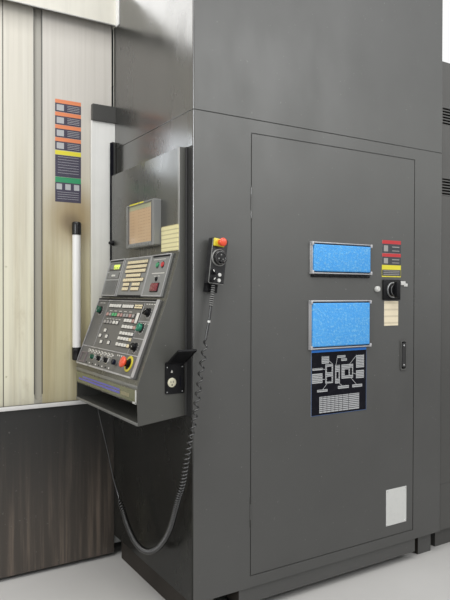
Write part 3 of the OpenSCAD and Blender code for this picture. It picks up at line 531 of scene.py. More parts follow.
@dataclass(frozen=True)
class ScuffedPlate(Finish):
    """Near-black plate scuffed by boots, with brownish upright rubs."""

    name: str
    base: Colour = (0.023, 0.023, 0.022)
    rub: Colour = (0.205, 0.160, 0.125)
    bare: Colour = (0.20, 0.19, 0.17)

    def build(self, graph: Graph) -> None:
        """Upright rubs and a brown haze towards the lower right.

        Args:
            graph: the graph to fill.
        """
        rubs = graph.ramp(graph.noise(14.0, 7.0, 0.66, (2.6, 2.6, 0.10)), 0.42, 0.80)
        low = graph.ramp(graph.axis("Z"), 0.75, 0.10)
        haze = graph.times(graph.math("ADD", graph.times(rubs, 0.70), 0.22), low)
        colour = graph.mix(haze, self.base, self.rub)
        spot = graph.ramp(graph.noise(70.0, 2.0, 0.5), 0.72, 0.78)
        colour = graph.mix(graph.times(spot, 0.4), colour, self.bare)
        graph.surface("Base Color", colour)
        graph.surface("Roughness", graph.math("ADD", graph.times(rubs, 0.25), 0.34))
        graph.bump(graph.noise(180.0, 3.0, 0.6), 0.10, 0.0008)


@dataclass(frozen=True)
class Moulded(Finish):
    """Moulded plastic with a fine spark-eroded grain and faint dust."""

    name: str
    base: Colour
    rough: float = 0.45
    grain: float = 0.18
    dust: float = 0.10
    coat: float = 0.0
    shine: float = 0.5

    def build(self, graph: Graph) -> None:
        """Grain, slight tone change and dust in patches.

        Args:
            graph: the graph to fill.
        """
        patch = graph.ramp(graph.noise(60.0, 4.0, 0.6), 0.45, 0.8)
        worn = tuple(min(1.0, c * 0.6 + 0.12) for c in self.base)
        colour = graph.mix(graph.times(patch, self.dust), self.base, worn)
        graph.surface("Base Color", colour)
        graph.surface("Roughness", graph.math("ADD", graph.times(patch, 0.12), self.rough - 0.04))
        graph.surface("Coat Weight", self.coat)
        graph.surface("Specular IOR Level", self.shine)
        graph.bump(graph.noise(1500.0, 2.0, 0.5), self.grain, 0.0002)


@dataclass(frozen=True)
class Metal(Finish):
    """Bare or plated metal with fine brushing."""

    name: str
    base: Colour = (0.62, 0.62, 0.61)
    rough: float = 0.34
    brush: Point = (1.0, 1.0, 12.0)

    def build(self, graph: Graph) -> None:
        """Brushed lines and dull patches.

        Args:
            graph: the graph to fill.
        """
        lines = graph.noise(260.0, 3.0, 0.6, self.brush)
        dull = graph.ramp(graph.noise(18.0, 4.0, 0.6), 0.35, 0.75)
        dark = tuple(c * 0.72 for c in self.base)
        graph.surface("Base Color", graph.mix(graph.times(dull, 0.6), self.base, dark))
        graph.surface("Metallic", 1.0)
        graph.surface("Roughness", graph.math("ADD", graph.times(dull, 0.18), self.rough - 0.06))
        graph.bump(lines, 0.12, 0.0002)


@dataclass(frozen=True)
class Foam(Finish):
    """Open-cell filter foam: dark pores under a lighter net."""

    name: str
    base: Colour = (0.125, 0.490, 1.0)
    pore: Colour = (0.080, 0.370, 0.90)
    fleck: Colour = (0.27, 0.64, 1.0)
    dust: Colour = (0.17, 0.56, 1.0)

    def build(self, graph: Graph) -> None:
        """Pores from scattered cells, pale flecks and soft dust.

        Args:
            graph: the graph to fill.
        """
        pores = graph.ramp(graph.cells(190.0), 0.15, 0.60)
        colour = graph.mix(graph.times(pores, 0.75), self.base, self.pore)
        fleck = graph.ramp(graph.noise(95.0, 4.0, 0.75), 0.48, 0.64)
        colour = graph.mix(graph.times(fleck, 0.80), colour, self.fleck)
        cloud = graph.ramp(graph.noise(22.0, 4.0, 0.6), 0.35, 0.75)
        colour = graph.mix(graph.times(cloud, 0.25), colour, self.dust)
        graph.surface("Base Color", colour)
        graph.surface("Roughness", 0.9)
        graph.surface("Specular IOR Level", 0.02)
        graph.bump(graph.math("SUBTRACT", fleck, pores), 0.6, 0.0018)


@dataclass(frozen=True)
class Screen(Finish):
    """Lit monitor page: warm field, pale header and faint rows, with no writing."""

    name: str
    field: Colour = (0.40, 0.275, 0.165)
    header: Colour = (0.27, 0.31, 0.20)
    line: Colour = (0.24, 0.155, 0.095)
    pale: Colour = (0.50, 0.42, 0.32)
    haze: Colour = (0.46, 0.37, 0.26)
    row_pitch: float = 0.0125
    edge_y: float = -1.198
    header_z: float = 1.590

    def build(self, graph: Graph) -> None:
        """Rows by height, a header band and a pale right part.

        Args:
            graph: the graph to fill.
        """
        height = graph.axis("Z")
        rows = graph.math("SINE", graph.times(height, 2 * math.pi / self.row_pitch), 0.0)
        band = graph.ramp(rows, 0.70, 0.95)
        across = graph.axis("Y")
        inner = graph.ramp(across, self.edge_y, self.edge_y + 0.010)
        dash = graph.ramp(graph.noise(120.0, 1.0, 0.5, (1.0, 1.0, 0.02)), 0.46, 0.5)
        mark = graph.times(graph.times(band, dash), 0.55)
        colour = graph.mix(mark, self.field, self.line)
        wide = graph.times(graph.math("SUBTRACT", 1.0, inner), graph.times(band, 0.7))
        colour = graph.mix(wide, colour, self.pale)
        top = graph.ramp(height, self.header_z, self.header_z + 0.004)
        colour = graph.mix(graph.times(top, 0.8), colour, self.header)
        haze = graph.ramp(graph.noise(9.0, 3.0, 0.6), 0.3, 0.75)
        colour = graph.mix(graph.times(haze, 0.25), colour, self.haze)
        graph.surface("Base Color", graph.mix(0.45, colour, (0.0, 0.0, 0.0)))
        graph.surface("Emission Color", colour)
        graph.surface("Emission Strength", 0.68)
        graph.surface("Roughness", 0.12)
        graph.bump(graph.noise(900.0, 1.0, 0.5), 0.03, 0.0001)


@dataclass(frozen=True)
class Paper(Finish):
    """Soiled paper with ruled lines across it."""

    name: str
    base: Colour = (0.80, 0.72, 0.40)
    rule: Colour = (0.50, 0.43, 0.24)
    pitch: float = 0.0165

    def build(self, graph: Graph) -> None:
        """Rules at an even pitch, thumbed patches and fibre.

        Args:
            graph: the graph to fill.
        """
        wave = graph.math("SINE", graph.times(graph.axis("Z"), 2 * math.pi / self.pitch), 0.0)
        lines = graph.times(graph.ramp(wave, 0.45, 0.90), 0.70)
        colour = graph.mix(lines, self.base, self.rule)
        soil = graph.times(graph.ramp(graph.noise(30.0, 5.0, 0.65), 0.45, 0.8), 0.35)
        colour = graph.mix(soil, colour, tuple(c * 0.7 for c in self.base))
        graph.surface("Base Color", colour)
        graph.surface("Roughness", 0.85)
        graph.surface("Specular IOR Level", 0.0)
        graph.bump(graph.noise(500.0, 4.0, 0.6), 0.2, 0.0003)


@dataclass(frozen=True)
class Glass(Finish):
    """Laminated window pane, dull with coolant film."""

    name: str

    def build(self, graph: Graph) -> None:
        """A dark green-grey pane with film in patches.

        Args:
            graph: the graph to fill.
        """
        film = graph.ramp(graph.noise(4.0, 5.0, 0.6, (1.0, 1.0, 0.4)), 0.35, 0.8)
        graph.surface("Base Color", graph.mix(film, (0.10, 0.13, 0.125), (0.22, 0.24, 0.22)))
        graph.surface("Roughness", graph.math("ADD", graph.times(film, 0.25), 0.05))
        graph.surface("Transmission Weight", 0.5)
        graph.bump(film, 0.05, 0.0004)


class Palette(Enum):
    """The machine's finishes."""

    # Cabinet grey: the darker top tone is painted shade; the darker low tone is partly painted shade, partly
    # grime.
    CABINET = SheetPaint("cabinet_grey", (0.110, 0.112, 0.106), (0.080, 0.080, 0.077), 0.6, 2.1, 0.40, 0.07,
                         top=(0.092, 0.094, 0.091), top_z=1.9)
    # Darker copy of the cabinet grey for faces that look left: painted shade, glossy so that they still
    # reflect.
    CABINET_SIDE_SHADE = SheetPaint("cabinet_side_shade_gloss", (0.034, 0.034, 0.031), (0.021, 0.021, 0.019), 0.6, 1.8,
                              0.25, 0.15, 0.0, 0.3, 0.05, ior=2.3, low_gloss=0.05, bloom=0.35)
    PLINTH_SIDE = SheetPaint("plinth_side", (0.050, 0.044, 0.038), (0.050, 0.044, 0.038), 0.0, 0.1, 0.6, 0.2,
                             0.0, 0.3, 0.05, low_gloss=0.1)
    CONSOLE = SheetPaint("console_grey", (0.090, 0.091, 0.082), (0.070, 0.070, 0.063), 0.8, 1.8, 0.40, 0.10)
    # Darker copy of the console grey for faces that look left: painted shade, glossy so that they still
    # reflect.
    CONSOLE_SIDE_SHADE = SheetPaint("console_front_shade_gloss", (0.050, 0.051, 0.045), (0.040, 0.040, 0.036), 0.8, 1.8,
                              0.28, 0.15, 0.0, 0.35, 0.05, ior=2.0)
    GUARD = SheetPaint("guard_grey", (0.084, 0.083, 0.078), (0.070, 0.069, 0.065), 0.3, 2.2, 0.46)
    CREAM = SheetPaint("enclosure_cream", (0.66, 0.64, 0.57), (0.52, 0.49, 0.40), 0.2, 2.0, 0.45, 0.10, 0.15,
                       0.1)
    HEADER = SheetPaint("header_cream", (0.74, 0.72, 0.64), (0.70, 0.67, 0.58), 0.2, 2.0, 0.42, 0.08, 0.06,
                        0.1)
    DOOR = StainedDoorPaint("door_cream")
    JAMB = SheetPaint("jamb_white", (0.88, 0.88, 0.85), (0.74, 0.72, 0.60), 0.7, 1.9, 0.42, 0.06, 0.10, 0.05)
    APRON = ScuffedPlate("apron_black")
    TRIM = SheetPaint("duct_grey", (0.060, 0.060, 0.057), (0.045, 0.045, 0.043), 0.2, 2.0, 0.5)
    BLACK_PAINT = SheetPaint("black_paint", (0.020, 0.020, 0.020), (0.016, 0.016, 0.016), 0.2, 2.0, 0.45)
    WHITE_PAINT = SheetPaint("handle_white", (0.88, 0.88, 0.87), (0.82, 0.81, 0.79), 0.8, 1.6, 0.30, 0.05,
                             0.0, 0.0)
    IRON = SheetPaint("machine_iron", (0.36, 0.38, 0.37), (0.26, 0.27, 0.26), 0.2, 2.0, 0.55, 0.12, 0.10, 0.1)
    STEEL = Metal("ground_steel", (0.66, 0.67, 0.68), 0.26)
    GALVANISED = Metal("galvanised", (0.56, 0.57, 0.57), 0.40)
    ALUMINIUM = SheetPaint("trim_silver", (0.34, 0.34, 0.33), (0.27, 0.27, 0.26), 0.8, 1.5, 0.36,
                           metallic=0.35)
    CHROME = Metal("chrome", (0.78, 0.78, 0.78), 0.14)
    # Black of the hinge strip: partly a black strip, partly painted shade beside the console's hinge.
    RUBBER_AND_SHADE = Moulded("black_rubber", (0.016, 0.016, 0.016), 0.55, 0.25, 0.12)
    CORD = Moulded("cord_black", (0.013, 0.013, 0.013), 0.20, 0.03, 0.05, 0.8)
    BLACK = Moulded("black_plastic", (0.009, 0.009, 0.010), 0.40, 0.15, 0.06, shine=0.16)
    PENDANT = Moulded("pendant_plastic", (0.022, 0.022, 0.023), 0.36, 0.2, 0.25, shine=0.3)
    KEYFIELD = Moulded("key_field_grey", (0.235, 0.238, 0.232), 0.5, 0.15, 0.2)
    FACE = Moulded("operation_grey", (0.140, 0.137, 0.132), 0.48, 0.15, 0.2)
    BEZEL = Moulded("monitor_grey", (0.245, 0.25, 0.245), 0.42, 0.12, 0.15)
    CREAM_KEY = Moulded("key_cream", (0.84, 0.73, 0.49), 0.42, 0.1, 0.2)
    WHITE_KEY = Moulded("key_white", (0.78, 0.76, 0.71), 0.42, 0.1, 0.25)
    DIM_KEY = Moulded("key_dim", (0.36, 0.345, 0.33), 0.45, 0.1, 0.3)
    KEYBED = Moulded("key_bed", (0.060, 0.052, 0.048), 0.5, 0.1, 0.2)
    RIM = SheetPaint("rim_silver", (0.52, 0.52, 0.53), (0.50, 0.49, 0.50), 0.8, 1.5, 0.32, 0.06, metallic=0.2)
    FADED_CREAM = Moulded("faded_cream", (0.30, 0.27, 0.16), 0.4, 0.1, 0.4)
    FADED = Moulded("faded_mauve", (0.20, 0.165, 0.17), 0.5, 0.1, 0.3)
    NAVY = Moulded("plug_navy", (0.006, 0.008, 0.022), 0.3, 0.05, 0.05, shine=0.2)
    DARK_GREEN = Moulded("knob_dark_green", (0.004, 0.075, 0.040), 0.2, 0.03, 0.03, 0.4, 0.3)
    # Light grey for painted highlights on the pendant's edges and its strain relief's ribs, and for the dial's
    # spokes.
    RIB_GREY = Moulded("rib_grey", (0.26, 0.26, 0.25), 0.45, 0.1, 0.3)
    GLOSS_BLACK = Moulded("gloss_black", (0.008, 0.008, 0.008), 0.16, 0.03, 0.03, 0.25, 0.3)
    FIELD_VIOLET = Moulded("field_violet", (0.125, 0.115, 0.50), 0.36, 0.1, 0.4)
    GREEN_KEY = Moulded("key_green", (0.10, 0.46, 0.18), 0.4, 0.1, 0.15)
    PINK_KEY = Moulded("key_pink", (0.50, 0.30, 0.27), 0.42, 0.1, 0.25)
    WHITE = Moulded("white_plastic", (0.70, 0.70, 0.67), 0.34, 0.08, 0.15)
    IVORY = Moulded("ivory_plastic", (0.72, 0.69, 0.52), 0.32, 0.08, 0.15)
    RED = Moulded("stop_red", (0.84, 0.085, 0.030), 0.30, 0.05, 0.12, 0.3)
    YELLOW = Moulded("stop_yellow", (0.72, 0.62, 0.03), 0.34, 0.05, 0.12, 0.2)
    GREEN = Moulded("knob_green", (0.02, 0.22, 0.13), 0.30, 0.05, 0.1, 0.2)
    LAMP_GREEN = Moulded("button_green", (0.05, 0.33, 0.15), 0.28, 0.05, 0.1, 0.2)
    MAROON = Moulded("button_maroon", (0.20, 0.022, 0.035), 0.30, 0.05, 0.1, 0.2)
    FIELD_RED = Moulded("field_red", (0.55, 0.030, 0.035), 0.4, 0.05, 0.1)
    FIELD_ORANGE = Moulded("field_orange", (0.80, 0.26, 0.11), 0.4, 0.05, 0.1)
    FIELD_YELLOW = Moulded("field_yellow", (0.80, 0.72, 0.05), 0.4, 0.05, 0.1)
    FIELD_GREEN = Moulded("field_green", (0.03, 0.30, 0.13), 0.4, 0.05, 0.1)
    FIELD_DARK = Moulded("field_dark", (0.058, 0.062, 0.070), 0.40, 0.05, 0.2, shine=0.25)
    FIELD_DUSK = Moulded("field_dusk", (0.072, 0.066, 0.098), 0.42, 0.05, 0.2, shine=0.25)
    FIELD_BLACK = Moulded("field_black", (0.006, 0.006, 0.010), 0.40, 0.05, 0.05, shine=0.10)
    FIELD_BLUE = Moulded("field_blue", (0.075, 0.15, 0.33), 0.36, 0.05, 0.1)
    VIVID_BLUE = Moulded("vivid_blue", (0.012, 0.20, 0.72), 0.36, 0.05, 0.1)
    FIELD_PALE = Moulded("field_pale", (0.48, 0.49, 0.50), 0.4, 0.05, 0.2)
    TAPE = Moulded("clear_tape", (0.17, 0.172, 0.095), 0.22, 0.3, 0.4)
    PLATE = Moulded("data_plate", (0.70, 0.705, 0.68), 0.38, 0.05, 0.3)
    FOAM = Foam("filter_foam")
    SCREEN = Screen("monitor_page")
    NOTE = Paper("note_paper", (0.84, 0.78, 0.47), (0.50, 0.44, 0.25))
    TAG = Paper("tag_card", (0.90, 0.80, 0.60), (0.66, 0.58, 0.42), 0.03)
    GLASS = Glass("window_glass")

    def material(self) -> bpy.types.Material:
        """The finish's material."""
        return self.value.material()


@dataclass(frozen=True)
class Indicator(Finish):
    """A lit lamp window."""

    name: str = "lit_window"
    glow: Colour = (0.55, 0.75, 0.05)

    def build(self, graph: Graph) -> None:
        """A lens that glows, a little brighter in its middle.

        Args:
            graph: the graph to fill.
        """
        tone = graph.mix(graph.ramp(graph.noise(200.0), 0.3, 0.7), self.glow, (0.75, 0.85, 0.20))
        graph.surface("Base Color", tone)
        graph.surface("Emission Color", tone)
        graph.surface("Emission Strength", 0.7)
        graph.bump(graph.noise(800.0), 0.1, 0.0001)


# Shapes


class Shape:
    """A bmesh under construction, in millimetres in the corner frame."""

    def __init__(self) -> None:
        """Starts empty."""
        self.bm = bmesh.new()

    def _merge(self, part: bmesh.types.BMesh, at: Matrix) -> Shape:
        """Adds another bmesh, moved by a matrix, and frees it.

        Args:
            part: the bmesh to add.
            at: the matrix.

        Returns:
            The shape itself.
        """
        part.transform(at)
        mesh = bpy.data.meshes.new("part")
        part.to_mesh(mesh)
        part.free()
        self.bm.from_mesh(mesh)
        bpy.data.meshes.remove(mesh)
        return self

    def block(self, low: Point, high: Point, bevel: float = 0.0, segments: int = 2,
              at: Matrix = Matrix()) -> Shape:
        """A box from corner to corner with rounded edges.

        Args:
            low: the lowest corner.
            high: the highest corner.
            bevel: radius of the edges, 0 for sharp ones.
            segments: steps of the rounding.
            at: the frame that the corners are in.

        Returns:
            The shape itself.
        """
        part = bmesh.new()
        bmesh.ops.create_cube(part, size=1.0)
        size = [h - l for l, h in zip(low, high)]
        bmesh.ops.scale(part, vec=size, verts=part.verts)
        bmesh.ops.translate(part, vec=[(l + h) / 2 for l, h in zip(low, high)], verts=part.verts)
        if bevel > 0:
            bmesh.ops.bevel(part, geom=part.edges[:], offset=min(bevel, min(size) * 0.48), affect="EDGES",
                            segments=segments, profile=0.5, material=-1)
        return self._merge(part, at)

    def lathe(self, profile: Sequence[Spot], at: Matrix, steps: int = 32) -> Shape:
        """A turned solid about the frame's z axis.

        Args:
            profile: (radius, height) from the axis at the bottom to the axis at the top.
            at: frame of the axis.
            steps: steps round.

        Returns:
            The shape itself.
        """
        part = bmesh.new()
        verts = [part.verts.new((r, 0.0, h)) for r, h in profile]
        edges = [part.edges.new(pair) for pair in zip(verts, verts[1:])]
        bmesh.ops.spin(part, geom=verts + edges, cent=(0, 0, 0), axis=(0, 0, 1), angle=2 * math.pi,
                       steps=steps, use_merge=True)
        bmesh.ops.remove_doubles(part, verts=part.verts, dist=1e-4)
        bmesh.ops.recalc_face_normals(part, faces=part.faces)
        return self._merge(part, at)

    def plate(self, outline: Sequence[Spot], low: float, high: float, at: Matrix,
              bevel: float = 0.0) -> Shape:
        """A flat plate of any outline, raised from low to high along the frame's z.

        Args:
            outline: its corners.
            low: where it starts.
            high: where it ends.
            at: the frame of the outline.
            bevel: radius of the top edge, 0 for a sharp one.

        Returns:
            The shape itself.
        """
        part = bmesh.new()
        face = part.faces.new([part.verts.new((x, y, low)) for x, y in outline])
        made = bmesh.ops.extrude_face_region(part, geom=[face])
        top = [v for v in made["geom"] if isinstance(v, bmesh.types.BMVert)]
        bmesh.ops.translate(part, vec=(0, 0, high - low), verts=top)
        bmesh.ops.recalc_face_normals(part, faces=part.faces)
        if bevel > 0:
            rim = [e for e in part.edges if all(abs(v.co.z - high) < 1e-6 for v in e.verts)]
            bmesh.ops.bevel(part, geom=rim, offset=bevel, affect="EDGES", segments=2, profile=0.5,
                            material=-1)
        return self._merge(part, at)

    def frame_ring(self, low: Spot, high: Spot, width: float, z0: float,
                   z1: float, at: Matrix, bevel: float = 0.3) -> Shape:
        """A rectangular ring of four bars in the frame's plane.

        Args:
            low: its lowest corner.
            high: its highest corner.
            width: width of the bars.
            z0: where the bars start.
            z1: where they end.
            at: the frame of the corners.
            bevel: radius of the edges.

        Returns:
            The shape itself.
        """
        (x0, y0), (x1, y1) = low, high
        self.block((x0, y0, z0), (x1, y0 + width, z1), bevel, 2, at)
        self.block((x0, y1 - width, z0), (x1, y1, z1), bevel, 2, at)
        self.block((x0, y0 + width, z0), (x0 + width, y1 - width, z1), bevel, 2, at)
        self.block((x1 - width, y0 + width, z0), (x1, y1 - width, z1), bevel, 2, at)
        return self

    def strips(self, boxes: Sequence[Box], low: float, high: float, at: Matrix, bevel: float = 0.0) -> Shape:
        """Flat bars that all stand from low to high on the frame's plane.

        Args:
            boxes: (x0, y0, x1, y1) of each bar.
            low: where the bars start along the frame's z.
            high: where they end.
            at: the frame that the boxes are in.
            bevel: radius of the edges, 0 for sharp ones.

        Returns:
            The shape itself.
        """
        for x0, y0, x1, y1 in boxes:
            self.block((x0, y0, low), (x1, y1, high), bevel, 1, at)
        return self

    def screw(self, radius: float, at: Matrix) -> Shape:
        """A pan-head screw with its socket, standing on the frame's plane.

        Args:
            radius: radius of the head.
            at: frame of its seat.

        Returns:
            The shape itself.
        """
        r = radius
        return self.lathe([(0, 0), (r, 0), (r, r * 0.25), (r * 0.8, r * 0.55), (r * 0.38, r * 0.62),
                           (r * 0.34, r * 0.3), (0, r * 0.3)], at, 20)

    def piece(self, name: str, finish: Palette | Finish, body: str, smooth: float = 40.0) -> bpy.types.Object:
        """Turns the shape into an object that rides on a body.

        Args:
            name: the object's name.
            finish: its material.
            body: the CAD body it rides on.
            smooth: edges sharper than this angle in degrees stay sharp.

        Returns:
            The new object.
        """
        self.bm.transform(TO_ROW)
        mesh = bpy.data.meshes.new(name)
        self.bm.to_mesh(mesh)
        self.bm.free()
        smoothed(mesh, smooth)
        mesh.materials.append(finish.material())
        made = placed(name, mesh)
        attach(made, body)
        LOG.info("%s: %d faces on %s", name, len(mesh.polygons), body)
        return made


# Camera and studio


@dataclass
class Studio:
    """Camera at the photograph's place, plain floor and soft light."""

    camera_at: Point = (-1090.9, -1993.9, 1250.0)
    turn_deg: float = 31.635
    pitch_deg: float = -0.631
    roll_deg: float = 0.12
    focal_px: float = 620.8
    picture_px: float = 600.0
    sensor_mm: float = 36.0
    room_tint: Colour = (0.95, 0.97, 1.0)
    room_level: float = 0.26
    floor_size: float = 14.0
    soft_lamps: tuple[tuple[str, Point, Point, Spot, float, Colour], ...] = (
        ("overhead", (-1.0, -2.9, 4.4), (0.2, -1.1, 1.0), (4.5, 1.8), 112.0, (1.0, 0.985, 0.96)),
        ("front_fill", (2.2, -5.2, 3.4), (0.6, -1.4, 1.3), (3.0, 2.0), 70.0, (1.0, 1.0, 1.0)),
        ("left_fill", (-3.4, -3.3, 2.3), (-0.3, -0.9, 1.2), (1.4, 1.8), 48.0, (0.97, 0.985, 1.0)))
    shine_cards: tuple[tuple[str, Point, float, Spot, float, Colour], ...] = (
        ("header_shine", (-0.334, -0.75, 2.731), 29.8, (0.46, 0.50), 2.1, (1.0, 1.0, 1.0)),
        ("plate_shine", (-0.27, -0.82, 1.90), 12.0, (0.12, 0.20), 0.34, (0.86, 0.93, 1.0)))

    def camera(self) -> None:
        """Makes the camera from the calibrated place and focal length."""
        data = bpy.data.cameras.new("camera")
        data.sensor_fit = "AUTO"
        data.sensor_width = self.sensor_mm
        data.lens = self.focal_px / self.picture_px * self.sensor_mm
        data.clip_start, data.clip_end = 0.05, 60.0
        made = placed("camera", data)
        yaw, pitch = math.radians(self.turn_deg), math.radians(self.pitch_deg)
        ahead = Vector((math.sin(yaw) * math.cos(pitch), math.cos(yaw) * math.cos(pitch), math.sin(pitch)))
        made.rotation_mode = "QUATERNION"
        look = ahead.to_track_quat("-Z", "Y")
        made.rotation_quaternion = look @ Matrix.Rotation(math.radians(self.roll_deg), 3, "Z").to_quaternion()
        made.location = row_point(self.camera_at)
        bpy.context.scene.camera = made

    def lamp(self, name: str, at: Point, aim: Point, size: Spot, power: float,
             tint: Colour) -> bpy.types.Object:
        """Adds a soft rectangular lamp; metres in the row frame.

        Args:
            name: the lamp's name.
            at: its place.
            aim: the point it shines at.
            size: width and height.
            power: watts.
            tint: colour of the light.

        Returns:
            The lamp's object.
        """
        data = bpy.data.lights.new(name, "AREA")
        data.shape = "RECTANGLE"
        data.size, data.size_y = size
        data.energy = power
        data.color = tint
        made = placed(name, data)
        made.location = at
        made.rotation_mode = "QUATERNION"
        made.rotation_quaternion = (Vector(aim) - Vector(at)).to_track_quat("-Z", "Y")
        return made

    def card(self, name: str, at: Point, tilt_deg: float, size: Spot, power: float, tint: Colour) -> None:
        """A small upright lamp facing the front that only shines in glossy faces; metres.

        Args:
            name: the lamp's name.
            at: its place.
            tilt_deg: its turn in its own plane.
            size: width and height.
            power: watts.
            tint: colour of the light.
        """
        tilt = math.radians(tilt_deg)
        made = self.lamp(name, at, (at[0], at[1] - 1.0, at[2]), size, power, tint)
        axes = (Vector((math.cos(tilt), 0, math.sin(tilt))), Vector((math.sin(tilt), 0, -math.cos(tilt))),
                Vector((0, 1, 0)))
        made.rotation_quaternion = Matrix(axes).transposed().to_quaternion()
        made.visible_camera = False
        made.visible_diffuse = False

    def lamps(self) -> None:
        """Overhead rows, two soft fills and two shines."""
        for lamp in self.soft_lamps:
            self.lamp(*lamp)
        for card in self.shine_cards:
            self.card(*card)

    def room(self) -> None:
        """World that is dim as light and pale where the camera, mirrors or glass show it."""
        world = bpy.data.worlds.new("room")
        world.use_nodes = True
        tree = world.node_tree
        tree.nodes.clear()
        out = tree.nodes.new("ShaderNodeOutputWorld")
        mix = tree.nodes.new("ShaderNodeMixShader")
        path = tree.nodes.new("ShaderNodeLightPath")
        seen_by = tree.nodes.new("ShaderNodeMath")
        seen_by.operation = "MAXIMUM"
        mirrored = tree.nodes.new("ShaderNodeMath")
        mirrored.operation = "MAXIMUM"
        light = tree.nodes.new("ShaderNodeBackground")
        seen = tree.nodes.new("ShaderNodeBackground")
        light.inputs[0].default_value = (*self.room_tint, 1.0)
        light.inputs[1].default_value = self.room_level
        seen.inputs[0].default_value = (1.0, 1.0, 1.0, 1.0)
        seen.inputs[1].default_value = 1.0
        tree.links.new(path.outputs["Is Glossy Ray"], mirrored.inputs[0])
        tree.links.new(path.outputs["Is Transmission Ray"], mirrored.inputs[1])
        tree.links.new(path.outputs["Is Camera Ray"], seen_by.inputs[0])
        tree.links.new(mirrored.outputs[0], seen_by.inputs[1])
        tree.links.new(seen_by.outputs[0], mix.inputs[0])
        tree.links.new(light.outputs[0], mix.inputs[1])
        tree.links.new(seen.outputs[0], mix.inputs[2])
        tree.links.new(mix.outputs[0], out.inputs[0])
        bpy.context.scene.world = world

    def floor(self) -> None:
        """A plain pale floor under the machine."""
        part = bmesh.new()
        bmesh.ops.create_grid(part, x_segments=4, y_segments=4, size=self.floor_size)
        mesh = bpy.data.meshes.new("floor")
        part.to_mesh(mesh)
        part.free()
        graph = Graph("pale_floor")
        tone = graph.mix(graph.ramp(graph.noise(1.2, 4.0), 0.3, 0.7), (0.60, 0.59, 0.57), (0.66, 0.65, 0.63))
        graph.surface("Base Color", tone)
        graph.surface("Roughness", 0.75)
        mesh.materials.append(graph.material)
        made = placed("floor", mesh)

    def build(self) -> None:
        """Camera first, then floor and light."""
        self.camera()
        self.floor()
        self.lamps()
        self.room()
        view = bpy.context.scene.view_settings
        view.view_transform = "Standard"


# Cord


